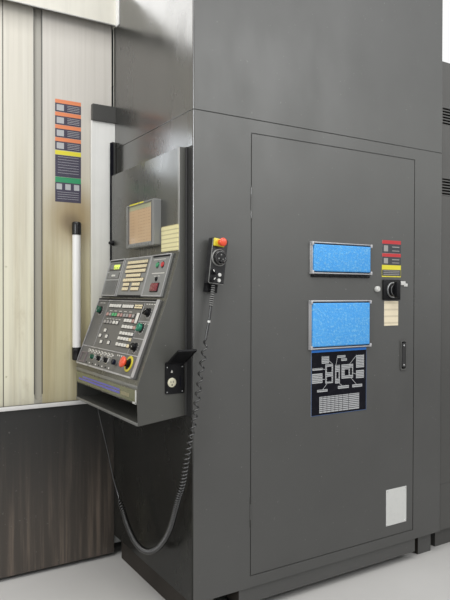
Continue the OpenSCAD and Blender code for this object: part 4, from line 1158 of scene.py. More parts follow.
@dataclass
class PendantCord:
    """Coiled cord from the pendant down the corner and up into the console."""

    wire: float = 6.8
    lead: float = 9.6
    coil: float = 25.0
    per_turn: int = 14
    start_turn: float = math.pi * 0.25
    narrow_in: float = 0.03
    narrow_out: float = 0.02
    axis_steps: int = 40
    lead_steps: int = 8
    pitches: tuple[Spot, ...] = (
        (0.0, 41.0), (0.10, 38.0), (0.18, 34.0), (0.25, 29.0), (0.31, 22.0), (0.37, 15.0), (0.43, 12.5),
        (0.48, 9.6), (0.53, 7.6), (0.60, 7.1), (0.94, 7.1), (0.965, 12.0), (1.0, 15.0))
    lead_a: list[Point] = field(default_factory=lambda: [
        (57, -32, 1201.6), (54, -32, 1180), (49, -32, 1148), (41, -32, 1110), (37.4, -32, 1093)])
    coil_points: list[Point] = field(default_factory=lambda: [
        (37, -32, 1092), (32, -32, 1052), (24, -32, 1007), (12, -32, 935), (0, -32, 863), (-15, -33, 775),
        (-28, -30, 721), (-33, -14, 650), (-36, 11, 556), (-39, 38, 498), (-41, 64, 437), (-43, 92, 373),
        (-46, 136, 310), (-50, 196, 255), (-54, 266, 218), (-58, 336, 208), (-62, 400, 226),
        (-66, 458, 270), (-70, 496, 318), (-73, 521, 349), (-75, 531, 366)])
    lead_b: list[Point] = field(default_factory=lambda: [
        (-75, 531.5, 367), (-78, 545, 392), (-87, 562, 440), (-106, 590, 570), (-131, 610, 700),
        (-136, 614, 730), (-136, 614, 761.7)])

    @staticmethod
    def spline(points: Sequence[Vector], i: int, t: float) -> Vector:
        """The same cubic as the part's source, through its points.

        Args:
            points: the route.
            i: index of the span's first point.
            t: share of the span.

        Returns:
            The point on the curve.
        """
        a, b = points[max(i - 1, 0)], points[i]
        c, d = points[i + 1], points[min(i + 2, len(points) - 1)]
        return 0.5 * ((2 * b) + (c - a) * t + (2 * a - 5 * b + 4 * c - d) * t * t
                      + (3 * b - a - 3 * c + d) * t * t * t)

    def line(self, points: Sequence[Point], steps: int) -> list[Vector]:
        """Points along the curve through the route's points.

        Args:
            points: the route.
            steps: points for each span.

        Returns:
            The points in order.
        """
        pts = [Vector(p) for p in points]
        out = [self.spline(pts, i, k / steps) for i in range(len(pts) - 1) for k in range(steps)]
        return out + [pts[-1]]

    def pitch(self, share: float) -> float:
        """Millimetres per turn at a share of the coil's length, wide at the top and closed below.

        Args:
            share: 0 at the top, 1 at the far end.

        Returns:
            The pitch in millimetres.
        """
        for (a, pa), (b, pb) in zip(self.pitches, self.pitches[1:]):
            if share <= b:
                return pa + (pb - pa) * (share - a) / (b - a)
        return self.pitches[-1][1]

    def helix(self) -> list[tuple[Vector, float]]:
        """The wire's middle line with its thickness: lead, coil and lead in one.

        Returns:
            Points with the wire's thickness at each.
        """
        axis = self.line(self.coil_points, self.axis_steps)
        total = sum((b - a).length for a, b in zip(axis, axis[1:]))
        radius = (self.coil - self.wire) / 2
        out = [(p, self.lead) for p in self.line(self.lead_a, self.lead_steps)[:-3]]
        side = Vector((1, 0, 0))
        phase, walked, done, pos = self.start_turn, 0.0, 0.0, 0.0
        step = 1.0 / self.per_turn
        for a, b in zip(axis, axis[1:]):
            seg = (b - a).length
            along = (b - a) / seg
            side = (side - along * side.dot(along)).normalized()
            other = along.cross(side)
            while pos < seg:
                share = (walked + pos) / total
                ease = max(0.0, min(1.0, share / self.narrow_in, (1.0 - share) / self.narrow_out))
                turn = phase + done * 2 * math.pi
                swing = side * math.cos(turn) + other * math.sin(turn)
                thick = self.wire + (self.lead - self.wire) * max(0.0, 1.0 - share / self.narrow_in)
                out.append((a + along * pos + swing * radius * ease, thick))
                pos += self.pitch(share) * step
                done += step
            pos -= seg
            walked += seg
        return out + [(p, self.wire) for p in self.line(self.lead_b, self.lead_steps)[1:]]

    def wire_mesh(self, pts: Sequence[Vector], wire: Sequence[tuple[Vector, float]]) -> bpy.types.Mesh:
        """Sweeps a round wire along its middle line.

        Args:
            pts: the line's points in the row frame.
            wire: the same points in the corner frame, each with the wire's thickness.

        Returns:
            The wire's smooth mesh.
        """
        curve = bpy.data.curves.new("pendant_cord_line", "CURVE")
        curve.dimensions = "3D"
        spline = curve.splines.new("POLY")
        spline.points.add(len(pts) - 1)
        for slot, p, (_, thick) in zip(spline.points, pts, wire):
            slot.co = (*p, 1.0)
            slot.radius = thick / self.wire
        curve.bevel_depth = self.wire / 2000.0
        curve.bevel_resolution = 2
        curve.use_fill_caps = True
        holder = placed("cord_holder", curve)
        depsgraph = bpy.context.evaluated_depsgraph_get()
        mesh = bpy.data.meshes.new_from_object(holder.evaluated_get(depsgraph))
        mesh.name = "pendant_cord"
        bpy.data.objects.remove(holder)
        bpy.data.curves.remove(curve)
        smoothed(mesh)
        mesh.materials.clear()
        mesh.materials.append(Palette.CORD.material())
        return mesh

    def build(self) -> None:
        wire = self.helix()
        pts = [Vector(row_point(p)) for p, _ in wire]
        mesh = self.wire_mesh(pts, wire)
        made = placed("pendant_cord", mesh)
        length = sum((b - a).length for a, b in zip(pts, pts[1:]))
        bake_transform(made)
        row_point(self.lead_a[0])
        [tuple(p) for p in pts]
        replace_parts(made, "cord_lead", "cord_coil")
        LOG.info("pendant_cord: %.2f m, %d points, %d faces", length, len(pts), len(mesh.polygons))


# Console


@dataclass
class ConsoleFace:
    """Keys, knobs, buttons, rims and plates of the console's two sloping faces.

    Places are (u, v) on a slope: u from the console's near end, v down from the slope's top edge.
    """

    key_top: float = 19.6
    key_pitch: float = 19.4
    key_height: float = 13.4
    key_gap: float = 5.0
    power_v: float = 48.0
    power_buttons: tuple[tuple[str, float, Palette], ...] = (
        ("power_on_button", 140, Palette.LAMP_GREEN), ("power_off_button", 94, Palette.FIELD_RED))
    key_switch: Spot = (120, 105)
    override_knobs: tuple[tuple[str, float, float, Palette, float], ...] = (
        ("feed_knob", 612, 60, Palette.DARK_GREEN, 0.5), ("spindle_knob", 104, 57, Palette.BLACK, 2.2),
        ("rapid_knob", 120, 120, Palette.GREEN, -0.4), ("mode_knob", 117, 196, Palette.BLACK, 1.4))
    selectors: tuple[tuple[str, float, Palette], ...] = (
        ("selector_a", 500, Palette.DARK_GREEN), ("selector_b", 420, Palette.BLACK),
        ("selector_c", 340, Palette.BLACK))
    selector_v: float = 270.0
    selector_turn: float = 0.35
    stop_place: Spot = (122, 262)
    plug_place: Spot = (236, 270)

    def upper_keys(self) -> None:
        """Cream keys of the middle module with their dark beds."""
        at = upper_frame()
        keys, beds = Shape(), Shape()
        rows = [(248, 456, r, 10) for r in (0, 1, 2, 4)] + [(286, 436, 3, 7)]
        rows += [(u0, u1, r, n) for r in (5, 6) for u0, u1, n in ((270, 350, 4), (378, 444, 3))]
        for u0, u1, r, count in rows:
            v, pitch = self.key_top + self.key_pitch * r, (u1 - u0) / count
            beds.strips([(u0 - 4, v - 2.4, u1, v + self.key_height + 3.2)], 6.0, 6.6, at, 0.2)
            for k in range(count):
                u = u0 + pitch * k
                keys.strips([(u, v, u + pitch - self.key_gap, v + self.key_height)], 6.3, 10.0, at, 1.1)
        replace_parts(keys.piece("upper_keys", Palette.CREAM_KEY, "console"), "keypad_keys")
        beds.piece("upper_key_beds", Palette.KEYBED, "console")

    def lower_keys(self) -> None:
        """Small keys of the operation panel in their groups."""
        at = lower_frame()
        finishes = {"white": Palette.WHITE_KEY, "dim": Palette.DIM_KEY, "green": Palette.GREEN_KEY,
                    "pink": Palette.PINK_KEY, "cream": Palette.CREAM_KEY}
        shapes = {name: Shape() for name in finishes}
        beds = Shape()

        def row(u0: float, u1: float, v: float, colours: Sequence[str], gap: float,
                height: float = 14.0) -> None:
            """A row of keys in their dark bezels.

            Args:
                u0: start of the row.
                u1: end of the row.
                v: upper edge of the keys.
                colours: each key's colour, one for each key.
                gap: space between two keys.
                height: the keys' height.
            """
            pitch = (u1 - u0) / len(colours)
            for k, colour in enumerate(colours):
                u, w = u0 + pitch * k, pitch - gap
                beds.strips([(u - 2.2, v - 2.2, u + w + 2.2, v + height + 2.2)], 5.9, 7.6, at, 0.5)
                shapes[colour].strips([(u, v, u + w, v + height)], 7.2, 11.0, at, 0.9)

        row(390, 525, 30, ["white"] * 5, 8)
        row(262, 378, 30, ["white"] * 5, 7)
        for v in (28, 37):
            row(176, 250, v, ["cream"] * 3, 6, 7)
        row(220, 528, 69, ["dim", "pink", "dim", "dim", "pink", "pink", "green", "green", "dim", "pink"], 11)
        row(176, 196, 62, ["white"], 0, 43)
        row(360, 530, 103, ["white", "white", "dim", "dim", "dim"], 13)
        row(205, 311, 90, ["pink", "white", "white", "white"], 8, 13)
        for v, first in ((116, "pink"), (143, "white"), (165, "cream"), (190, "cream")):
            row(172, 312, v, [first] + ["white"] * 4, 8, 13)
        for u, v in ((469, 148), (432, 173), (506, 173), (470, 199), (386, 197)):
            row(u - 10, u + 10, v - 7, ["white"], 0)
        for name, shape in shapes.items():
            shape.piece("lower_keys_" + name, finishes[name], "console")
        beds.piece("lower_key_bezels", Palette.BLACK, "console")

    def rims(self) -> None:
        """Light folded rims round the faces and the dark gaps between the modules."""
        up, low = upper_frame(), lower_frame()
        rim = Shape()
        rim.frame_ring((45, 4), (217, 174), 4.0, 8.0, 9.2, up)
        rim.frame_ring((223, 4), (493, 174), 5.0, 6.0, 7.4, up)
        rim.frame_ring((499, 4), (669, 174), 4.5, 8.0, 9.2, up)
        rim.strips([(503, 62, 665, 65.6), (503, 98, 665, 101.6)], 8.0, 9.0, up, 0.3)
        rim.strips([(38, 5, 62, 313), (38, 306.5, 676, 313), (671, 5, 676, 313)], 9.0, 10.4, low, 0.5)
        rim.strips([(62, 12.5, 676, 15.5)], 8.2, 9.6, low, 0.3)
        rim.strips([(62, 226.6, 669, 230.4)], 8.0, 8.8, low, 0.2)
        rim.strips([(164.4, 16, 166.6, 225), (540.4, 16, 542.6, 225), (62, 92.2, 162, 95.6),
                    (62, 160.2, 162, 163.6)], 7.0, 7.5, low, 0.2)
        rim.strips([(48, 236, 60, 300)], 6.0, 9.6, low, 0.3)
        rim.piece("panel_rims", Palette.RIM, "console")
        dark = Shape()
        dark.strips([(508, 9.4, 660, 15), (58, 9.4, 202, 14)], 8.0, 9.4, up, 0.3)
        dark.strips([(228, 169.5, 474, 176.0)], 6.0, 8.6, up, 0.3)
        dark.strips([(64, 5.2, 672, 11.4)], 9.0, 10.8, low, 0.3)
        dark.piece("panel_slots", Palette.FIELD_BLACK, "console")

    def left_module(self) -> None:
        """Lit window, switch and grille of the far module."""
        at = upper_frame()
        wells = Shape().strips([(514, 22, 646, 58), (514, 69, 646, 95), (512, 105, 648, 168)], 8.0, 9.0, at,
                               0.6)
        wells.piece("module_wells", Palette.KEYBED, "console")
        lit = Shape().strips([(531, 31, 597, 42)], 8.8, 10.6, at, 0.8)
        lit.piece("lit_window", Indicator(), "console")
        shade = Shape().strips([(531, 43, 597, 52)], 8.8, 10.2, at, 0.8)
        shade.piece("window_shade", Indicator("dim_window", (0.10, 0.14, 0.01)), "console")
        rocker = Shape().block((556, 77, 8.8), (594, 86, 13.0), 1.4, 2, at)
        rocker.piece("rocker_switch", Palette.WHITE_KEY, "console")
        bars = Shape().strips([(518, 108 + 5.2 * k, 642, 110.6 + 5.2 * k) for k in range(11)], 8.8, 10.2, at,
                              0.3)
        bars.piece("module_grille", Palette.FIELD_DARK, "console")

    def right_module(self) -> None:
        """Button bezels, key switch and the square button of the near module."""
        at = upper_frame()
        bezels = Shape()
        for _, u, _ in reversed(self.power_buttons):
            bezels.lathe([(10.4, 8.0), (13.8, 8.0), (13.8, 9.4), (13.0, 10.2), (10.6, 10.2), (10.4, 8.0)],
                         at @ shift(u, self.power_v, 0), 28)
        bezels.piece("button_bezels", Palette.BLACK, "console")
        for node, u, finish in self.power_buttons:
            head = Shape().lathe([(0, 8.6), (9.8, 8.6), (9.8, 13.4), (8.9, 14.4), (6.2, 14.4), (5.4, 13.9),
                                  (0, 13.9)], at @ shift(u, self.power_v, 0), 28)
            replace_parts(head.piece(node + "_head", finish, node), node)
        lines = Shape().strips([(66, 80, 175, 83), (84, 24, 190, 26), (96, 92, 116, 94), (126, 92, 150, 94)],
                               8.0, 8.5, at, 0.1)
        lines.piece("module_lines", Palette.WHITE_KEY, "console")
        lock = at @ shift(*self.key_switch, 0)
        switch = Shape().lathe([(0, 8), (9, 8), (9, 10.6), (7.8, 11.8), (0, 11.8)], lock, 26)
        switch.block((-1.6, -6, 11.4), (1.6, 6, 14.6), 0.6, 2, lock @ turned(0.6))
        switch.piece("key_switch", Palette.BLACK, "console")
        square = Shape().block((83, 120, 8), (151, 157, 10.6), 1.2, 2, at)
        square.piece("square_button_frame", Palette.BLACK, "console")
        square = Shape().block((86, 122.5, 10.2), (148, 154, 14.5), 1.6, 2, at)
        square.piece("square_button", Palette.MAROON, "console")

    def knob(self, node: str, u: float, v: float, finish: Palette, turn: float) -> None:
        """A skirted override knob with its pointer grip and scale ring.

        Args:
            node: the CAD node that it stands for.
            u: its place along the slope.
            v: its place down the slope.
            finish: colour of the grip.
            turn: the grip's angle in radians.
        """
        flat = lower_frame() @ shift(u, v, 0)
        at = flat @ turned(turn)
        head = Shape().lathe([(0, 6.5), (18, 6.5), (18, 8.6), (16.4, 10.6), (13.6, 11.0), (13.0, 22.6),
                              (11.8, 24.0), (0, 24.0)], at, 36)
        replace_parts(head.piece(node + "_skirt", Palette.BLACK, node), node)
        grip = Shape().lathe([(0, 11.2), (13.9, 11.2), (13.9, 22.8), (12.4, 24.6), (0, 24.6)], at, 32)
        grip.block((-3.4, -16.2, 11.0), (3.4, 16.2, 27.0), 1.6, 3, at)
        grip.piece(node + "_head", finish, node)
        mark = Shape().strips([(-0.9, 4.0, 0.9, 15.4)], 26.6, 27.3, at, 0.2)
        mark.piece(node + "_mark", Palette.WHITE, node)
        ticks = Shape()
        for k in range(11):
            spoke = flat @ turned(math.radians(-130 + 26 * k))
            ticks.strips([(-1.0, 20.0, 1.0, 25.0)], 6.0, 6.4, spoke)
        ticks.piece(node + "_scale", Palette.WHITE_KEY, "console")

    def selector(self, node: str, u: float, finish: Palette) -> None:
        """A small selector with its bright collar and pointer.

        Args:
            node: the CAD node that it stands for.
            u: its place along the slope.
            finish: colour of the head.
        """
        at = lower_frame() @ shift(u, self.selector_v, 0)
        aside = at @ turned(self.selector_turn)
        collar = Shape().lathe([(11.4, 6.0), (14.6, 6.0), (14.6, 8.4), (13.4, 9.4), (11.6, 9.4), (11.4, 6.0)],
                               at, 28)
        collar.piece(node + "_collar", Palette.CHROME, "console")
        head = Shape().lathe([(0, 6.5), (11, 6.5), (11, 13.2), (10, 14.5), (0, 14.5)], at, 28)
        head.block((-3.2, -9.4, 14.0), (3.2, 9.4, 23.5), 1.4, 3, aside)
        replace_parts(head.piece(node + "_head", finish, node), node)
        mark = Shape().strips([(-0.8, 2.0, 0.8, 9.0)], 23.2, 23.8, aside, 0.2)
        mark.piece(node + "_mark", Palette.WHITE, node)

    def stop(self) -> None:
        """Emergency stop: yellow ring, black collar and red mushroom head."""
        at = lower_frame() @ shift(*self.stop_place, 0)
        well = Shape().lathe([(12.3, 6.0), (21.6, 6.0), (21.6, 7.6), (12.6, 7.6), (12.3, 6.0)], at, 44)
        well.piece("stop_well", Palette.BLACK, "console")
        ring = Shape().lathe([(21.6, 6.0), (31, 6.0), (31, 8.2), (30.2, 9.0), (21.8, 9.0), (21.6, 6.0)], at,
                             44)
        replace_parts(ring.piece("stop_ring", Palette.YELLOW, "console"), "e_stop_ring")
        head = Shape().lathe([(0, 23.0), (11.9, 23.0), (11.9, 23.6), (14.0, 25.6), (19.6, 29.2), (21.0, 32.2),
                              (21.0, 35.4), (19.4, 38.2), (15.0, 40.0), (8.0, 40.5), (0, 40.5)], at, 40)
        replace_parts(head.piece("stop_head", Palette.RED, "e_stop_button"), "e_stop_button")
        stem = Shape().lathe([(0, 6.6), (11.9, 6.6), (11.9, 23.4), (0, 23.4)], at, 40)
        stem.piece("stop_stem", Palette.BLACK, "e_stop_button")

    def small_lamps(self) -> None:
        """Rows of small studs and marks round the selectors, the plug and the corner box."""
        at = lower_frame()
        studs, pale = Shape(), Shape()
        for k in range(8):
            u = 296 + 38 * k
            for v, shape in ((245, pale), (298, studs if k % 2 else pale)):
                shape.lathe([(0, 6), (3.6, 6), (3.6, 7.4), (2.8, 8.2), (0, 8.2)], at @ shift(u, v, 0), 16)
            pale.frame_ring((u + 8, 238), (u + 26, 252), 2.4, 6.0, 6.5, at, 0.1)
        for _, u, _ in self.selectors:
            for k in range(7):
                spoke = at @ shift(u, self.selector_v, 0) @ turned(math.radians(-90 + 30 * k))
                pale.strips([(-1.1, -22.0, 1.1, -17.0)], 6.0, 6.4, spoke)
        marks = [(u, 236, u + 9, 242) for u in (188, 208, 228, 248)]
        marks += [(u, v, u + w, v + 3) for u in (70, 92, 114, 136) for v, w in ((22, 14), (100, 11))]
        marks += [(u, 24, u + 12, 27.5) for u in (590, 612, 634)]
        marks += [(262 + 53 * k, 58, 290 + 53 * k, 60.4) for k in range(5)]
        marks += [(352 + 34 * k, 94, 370 + 34 * k, 96.4) for k in range(5)]
        pale.strips(marks, 6.0, 6.4, at)
        studs.piece("panel_studs", Palette.BLACK, "console")
        pale.piece("panel_marks", Palette.WHITE_KEY, "console")
        plug = Shape().lathe([(0, 13.6), (8.6, 13.6), (8.6, 17.0), (11.0, 18.4), (11.0, 26.0), (9.4, 27.6),
                              (0, 27.6)], at @ shift(*self.plug_place, 0), 28)
        plug.piece("blanking_plug", Palette.NAVY, "console")
        box = Shape().frame_ring((586, 256), (650, 302), 5.0, 6.0, 11.0, at, 0.5)
        box.piece("corner_box", Palette.FADED, "console")

    def build(self) -> None:
        """Builds all of the face."""
        self.upper_keys()
        self.lower_keys()
        self.rims()
        self.left_module()
        self.right_module()
        for knob in self.override_knobs:
            self.knob(*knob)
        for selector in self.selectors:
            self.selector(*selector)
        self.stop()
        self.small_lamps()


@dataclass
class Monitor:
    """Monitor with its bezel, tape and ribbed keys, and the note pad beside it."""

    face_x: float = -62.0
    rim_ys: Spot = (222.0, 459.0)
    rim_zs: Spot = (1450.0, 1613.0)
    bar: float = 4.5
    tape_zs: Spot = (1609.5, 1618.6)
    tape_ys: tuple[Spot, ...] = ((300.0, 340.0), (350.0, 440.0))
    key_pitch: float = 23.0
    sheets: int = 5

    def build(self) -> None:
        """Bezel strips, the bezel's side strip, tape, soft keys and the pad of notes."""
        x = self.face_x
        (y0, y1), (z0, z1) = self.rim_ys, self.rim_zs
        rim = Shape()
        rim.block((x - 1.6, y0, z0), (x + 1, y0 + self.bar, z1), 0.5)
        rim.block((x - 1.6, y1 - self.bar, z0), (x + 1, y1, z1), 0.5)
        rim.block((x - 1.6, y0, z1 - 4.0), (x + 1, y1, z1), 0.5)
        rim.piece("screen_rim", Palette.FACE, "console")
        light = Shape().block((x - 1.2, y1 + 2, z0 - 10), (x, y1 + 16, z1 + 3), 0.4)
        light.piece("bezel_light_edge", Palette.BEZEL, "console")
        tape = Shape()
        for low, high in self.tape_ys:
            tape.block((x - 1.2, low, self.tape_zs[0]), (x + 1, high, self.tape_zs[1]), 0.2, 1)
        tape.piece("yellow_tape", Palette.FIELD_YELLOW, "console")
        ribs = Shape()
        for k in range(10):
            y = y0 + 3.5 + self.key_pitch * k
            ribs.block((x - 2.4, y, z0 - 8.5), (x, y + 17.0, z0 + 1.5), 0.8, 2)
        ribs.piece("soft_keys", Palette.BEZEL, "console")
        pad = Shape()
        for k in range(self.sheets):
            lift = 0.9 * k
            pad.block((-31 - lift, 52 + k, 1409 + 0.5 * k), (-29.8 - lift, 196 - 0.5 * k, 1507 - k), 0.1, 1)
        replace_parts(pad.piece("note_sheets", Palette.NOTE, "console"), "note_pad")


@dataclass
class OutletBox:
    """Service outlet with its receptacle and lifted cover on the console's near side."""

    x0: float = -90.0
    y_face: float = 44.0
    z0: float = 880.0
    receptacle: Spot = (26.0, 42.0)
    screw_us: Spot = (7.0, 70.0)
    screw_vs: Spot = (7.0, 98.0)

    def build(self) -> None:
        """Receptacle face, rocker, corner screws and rims."""
        plate = front_frame(self.x0, self.y_face, self.z0)
        seat = plate @ shift(*self.receptacle, 0)
        face = seat @ shift(0, 0, 0.9)
        disc = Shape().lathe([(0, 0), (17.2, 0), (17.2, 0.9), (16.2, 1.6), (0, 1.6)], face, 36)
        disc.piece("receptacle_face", Palette.IVORY, "console")
        slots = Shape().strips([(-5.8, -2, -3.6, 6), (3.6, -1, 5.6, 6)], 1.5, 1.8, face)
        slots.lathe([(0, 1.5), (2.6, 1.5), (2.6, 1.8), (0, 1.8)], face @ shift(0, -9, 0), 16)
        slots.piece("receptacle_slots", Palette.FIELD_BLACK, "console")
        raised = Shape().frame_ring((3, 3), (74, 104), 2.4, 0.0, 0.8, plate)
        raised.lathe([(17.8, 0), (21.5, 0), (21.5, 0.6), (20.6, 0.9), (18.6, 0.9), (17.8, 0.6), (17.8, 0)],
                     seat, 36)
        raised.strips([(52.5, 20, 67.5, 68)], 0.0, 0.9, plate, 0.4)
        raised.piece("outlet_rims", Palette.BLACK, "console")
        rocker = Shape().strips([(56, 24, 64, 64)], 0.6, 1.2, plate, 0.3)
        rocker.piece("outlet_rocker", Palette.FIELD_BLACK, "console")
        screws = Shape()
        for u in self.screw_us:
            for v in self.screw_vs:
                screws.screw(2.6, plate @ shift(u, v, -0.6))
        screws.piece("outlet_screws", Palette.GALVANISED, "console")
        pip = Shape().plate([(22, 78), (30, 78), (26, 88)], 0.0, 1.6, plate, 0.3)
        pip.piece("outlet_mark", Palette.WHITE_KEY, "console")


@dataclass
class ConsoleBody:
    """Case details: hinge line, fascia strip, shelf lip and the round latch."""

    knuckle_zs: Spot = (1053.0, 1778.0)
    knuckle_pitch: float = 23.0
    fascia_x: float = -197.0
    ends: Spot = (50.0, 727.0)
    latch_place: Point = (-30.0, 708.0, 1479.0)

    def knuckles(self) -> None:
        """Bright knuckles of the console's hinge line, one above another."""
        dashes = Shape()
        z = self.knuckle_zs[0]
        while z < self.knuckle_zs[1]:
            dashes.lathe([(0, 0), (3.4, 0), (3.4, 12.0), (0, 12.0)], shift(-5, 43.4, z), 12)
            z += self.knuckle_pitch
        dashes.piece("hinge_knuckles", Palette.GALVANISED, "machine")

    def fascia(self) -> None:
        """Taped fascia with its faded bands, patch and a painted highlight on its crease."""
        x = self.fascia_x
        tape = Shape().block((x - 1.2, 58, 856), (x, 722, 900), 0.3, 1)
        tape.piece("fascia_tape", Palette.TAPE, "console")
        bands = Shape().block((x - 1.9, 215, 868), (x - 1.1, 690, 876), 0.2, 1)
        bands.block((x - 1.9, 215, 880), (x - 1.1, 640, 887), 0.2, 1)
        bands.piece("fascia_field", Palette.FIELD_VIOLET, "console")
        patch = Shape().block((x - 1.9, 125, 868), (x - 1.1, 205, 882), 0.2, 1)
        patch.piece("fascia_patch", Palette.FADED_CREAM, "console")
        # White strips on the tape's creased near end: painted highlight.
        crease = Shape().block((x - 2.4, 56, 852), (x - 1.4, 68, 902), 0.3, 1)
        crease.block((x - 2.4, 60, 850), (x - 1.4, 90, 858), 0.3, 1)
        crease.piece("fascia_crease_highlight", Palette.WHITE, "console")

    def trims(self) -> None:
        """Bright strips over the fascia and on the shelf's lip, and a painted highlight on the plate's near
        edge.
        """
        x, (y0, y1) = self.fascia_x, self.ends
        strip = Shape().block((x - 2.0, y0 + 2, 906), (x + 1, y1 - 1, 918), 1.2, 2)
        strip.piece("fascia_strip", Palette.ALUMINIUM, "console")
        lip = Shape().block((x - 2.6, y0, 774), (x + 0.5, y1, 785.5), 1.2, 2)
        lip.piece("shelf_lip", Palette.ALUMINIUM, "console")
        # Light strip on the console plate's near flange: the flange is real, its light tone is painted
        # highlight.
        edge = Shape().block((-31.2, 48.6, 1404), (-29.8, 62, 1788), 0.5, 1)
        edge.piece("plate_edge_highlight", Palette.ALUMINIUM, "console")

    def build(self) -> None:
        """Adds the case's trims and its latch."""
        self.knuckles()
        self.fascia()
        self.trims()
        latch = Shape().lathe([(0, 0.5), (12, 0.5), (12, 9.0), (10.6, 12.0), (7.6, 13.8), (7.0, 19.4),
                               (5.4, 21.6), (0, 22.0)], side_frame(*self.latch_place), 32)
        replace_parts(latch.piece("latch_knob", Palette.BLACK, "console_latch"), "console_latch")


# Pendant


@dataclass
class Pendant:
    """Hand pendant: shell, dial, selectors, stop button and strain relief."""

    width: float = 67.0
    height: float = 168.0
    back: float = -14.0
    face: float = -50.0
    dial_place: Spot = (-1, 97)
    relief: Point = (-2, -32, 0)
    selectors: tuple[tuple[str, float, float], ...] = (
        ("pendant_axis_knob", 42, 0.7), ("pendant_step_knob", 13, -0.6))
    selector_x: float = -20.0
    stop_place: Spot = (-4, 153)

    def on_face(self, x: float, z: float, out: float = 0.0) -> Matrix:
        """Frame on the pendant's face at (x, z), z outward."""
        return pendant_frame() @ front_frame(x, self.face - out, z)

    def shell(self) -> None:
        """Rounded body with a raised rim, in place of the plain block."""
        at = pendant_frame()
        body = Shape()
        w = self.width / 2
        body.block((-w, self.face, 0), (w, self.back, self.height), 5.0, 4, at)
        body.lathe([(26.4, 0), (31, 0), (31, 4.6), (29.8, 6.0), (27.4, 6.0), (26.4, 0)],
                   self.on_face(*self.dial_place), 44)
        body.block((-w - 1.2, -26, 6), (w + 1.2, -20, self.height - 6), 2.0, 2, at)
        made = body.piece("pendant_shell", Palette.PENDANT, "machine")
        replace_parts(made, "pendant_body")
        sleeve = Shape()
        # The ribs' light grey stands in for the highlights on the black ribbed sleeve: painted highlight.
        ribs = Shape()
        for k in range(10):
            z = -79.5 + 8.0 * k
            ribs.lathe([(5.4, z), (7.6, z + 0.6), (7.6, z + 3.4), (5.4, z + 4.0)], at @ shift(*self.relief),
                       20)
        sleeve.lathe([(0.0, -82.0), (5.6, -82.0), (5.6, 0.0), (0.0, 0.0)], at @ shift(*self.relief), 24)
        sleeve.piece("strain_relief", Palette.BLACK, "machine")
        ribs.piece("strain_relief_ribs", Palette.RIB_GREY, "machine")
        # Light grey strips on the face's left and bottom edges and round the dial's seat: painted highlights.
        edges = Shape().block((-w - 0.3, self.face - 0.4, 3), (-w + 2.0, self.face + 2.4, self.height - 5),
                              0.8, 1, at)
        edges.block((-w + 2, self.face - 0.4, 0.2), (w - 3, self.face + 2.4, 2.6), 0.8, 1, at)
        edges.lathe([(26.6, 0.2), (31.2, 0.2), (31.2, 4.8), (29.9, 6.3), (27.6, 6.3), (26.6, 0.2)],
                    self.on_face(*self.dial_place), 44)
        edges.piece("pendant_edge_highlights", Palette.RIB_GREY, "machine")
        base = Shape().block((-31.5, self.face - 5.8, 137), (14, self.face + 0.2, 166), 3.0, 3, at)
        base.piece("pendant_stop_base", Palette.YELLOW, "machine")

    def dial(self) -> None:
        """Pulse dial with a knurled rim, a scale and its crank knob."""
        at = self.on_face(*self.dial_place)
        rim = Shape()
        rim.lathe([(0, 6.5), (26, 6.5), (26, 15.6), (24.2, 17.4), (20.0, 17.8), (18.2, 15.8), (0, 15.4)], at,
                  48)
        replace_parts(rim.piece("dial_wheel", Palette.GLOSS_BLACK, "pendant_dial"), "pendant_dial")
        boss, star = Shape(), Shape()
        boss.lathe([(0, 15.2), (9.0, 15.2), (8.0, 18.0), (0, 18.4)], at, 28)
        boss.lathe([(0, 15.0), (4.2, 15.0), (3.8, 21.6), (2.8, 22.4), (0, 22.5)], at @ shift(0, -14.6, 0), 20)
        for k in range(3):
            star.block((-2.6, 3.5, 16.0), (2.6, 12.6, 17.6), 0.6, 1, at @ turned(math.radians(120 * k)))
        boss.piece("dial_boss", Palette.GLOSS_BLACK, "pendant_dial")
        star.piece("dial_star", Palette.RIB_GREY, "pendant_dial")
        scale = Shape()
        for k in range(40):
            spoke = at @ turned(math.radians(9 * k))
            scale.block((-0.3, 21.6, 17.2), (0.3, 23.4, 17.7), 0, 1, spoke)
        scale.piece("dial_scale", Palette.DIM_KEY, "pendant_dial")

    def controls(self) -> None:
        """Two selectors, two white buttons and the red mushroom."""
        for node, z, turn in self.selectors:
            at = self.on_face(self.selector_x, z)
            head = Shape()
            head.lathe([(0, 0.5), (10, 0.5), (10, 5.6), (9.0, 7.0), (0, 7.2)], at, 28)
            head.block((-2.8, -10.6, 6.4), (2.8, 10.6, 13.8), 1.3, 2, at @ turned(turn))
            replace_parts(head.piece(node + "_head", Palette.BLACK, node), node)
            mark = Shape().strips([(-1.9, 1.0, 1.9, 10.0)], 13.4, 14.4, at @ turned(turn), 0.3)
            mark.piece(node + "_mark", Palette.WHITE, node)
        caps = Shape()
        for z in (35, 14.5):
            caps.lathe([(0, 0), (6.8, 0), (6.8, 3.6), (5.6, 4.8), (0, 5.0)], self.on_face(9, z), 24)
        caps.piece("pendant_white_buttons", Palette.WHITE, "machine")
        at = self.on_face(*self.stop_place)
        head = Shape()
        head.lathe([(0, 5.1), (12, 5.1), (12, 15.6), (14.2, 18.6), (15.5, 21.4), (15.5, 25.2), (13.8, 28.2),
                    (9.6, 29.8), (0, 30.0)], at, 36)
        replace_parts(head.piece("pendant_stop_head", Palette.RED, "pendant_estop"), "pendant_estop")

    def build(self) -> None:
        """Builds all of the pendant and the white band on its cord."""
        self.shell()
        self.dial()
        self.controls()
        along = Vector((-6, 0, -35)).normalized()
        band = axes_frame((49.4, -32, 1150), Vector((0, 1, 0)), along.cross(Vector((0, 1, 0))), along)
        Shape().lathe([(4.8, 0), (5.7, 0), (5.7, 8.0), (4.8, 8.0), (4.8, 0)], band, 20).piece(
            "cord_band", Palette.WHITE, "machine")


# Cabinet


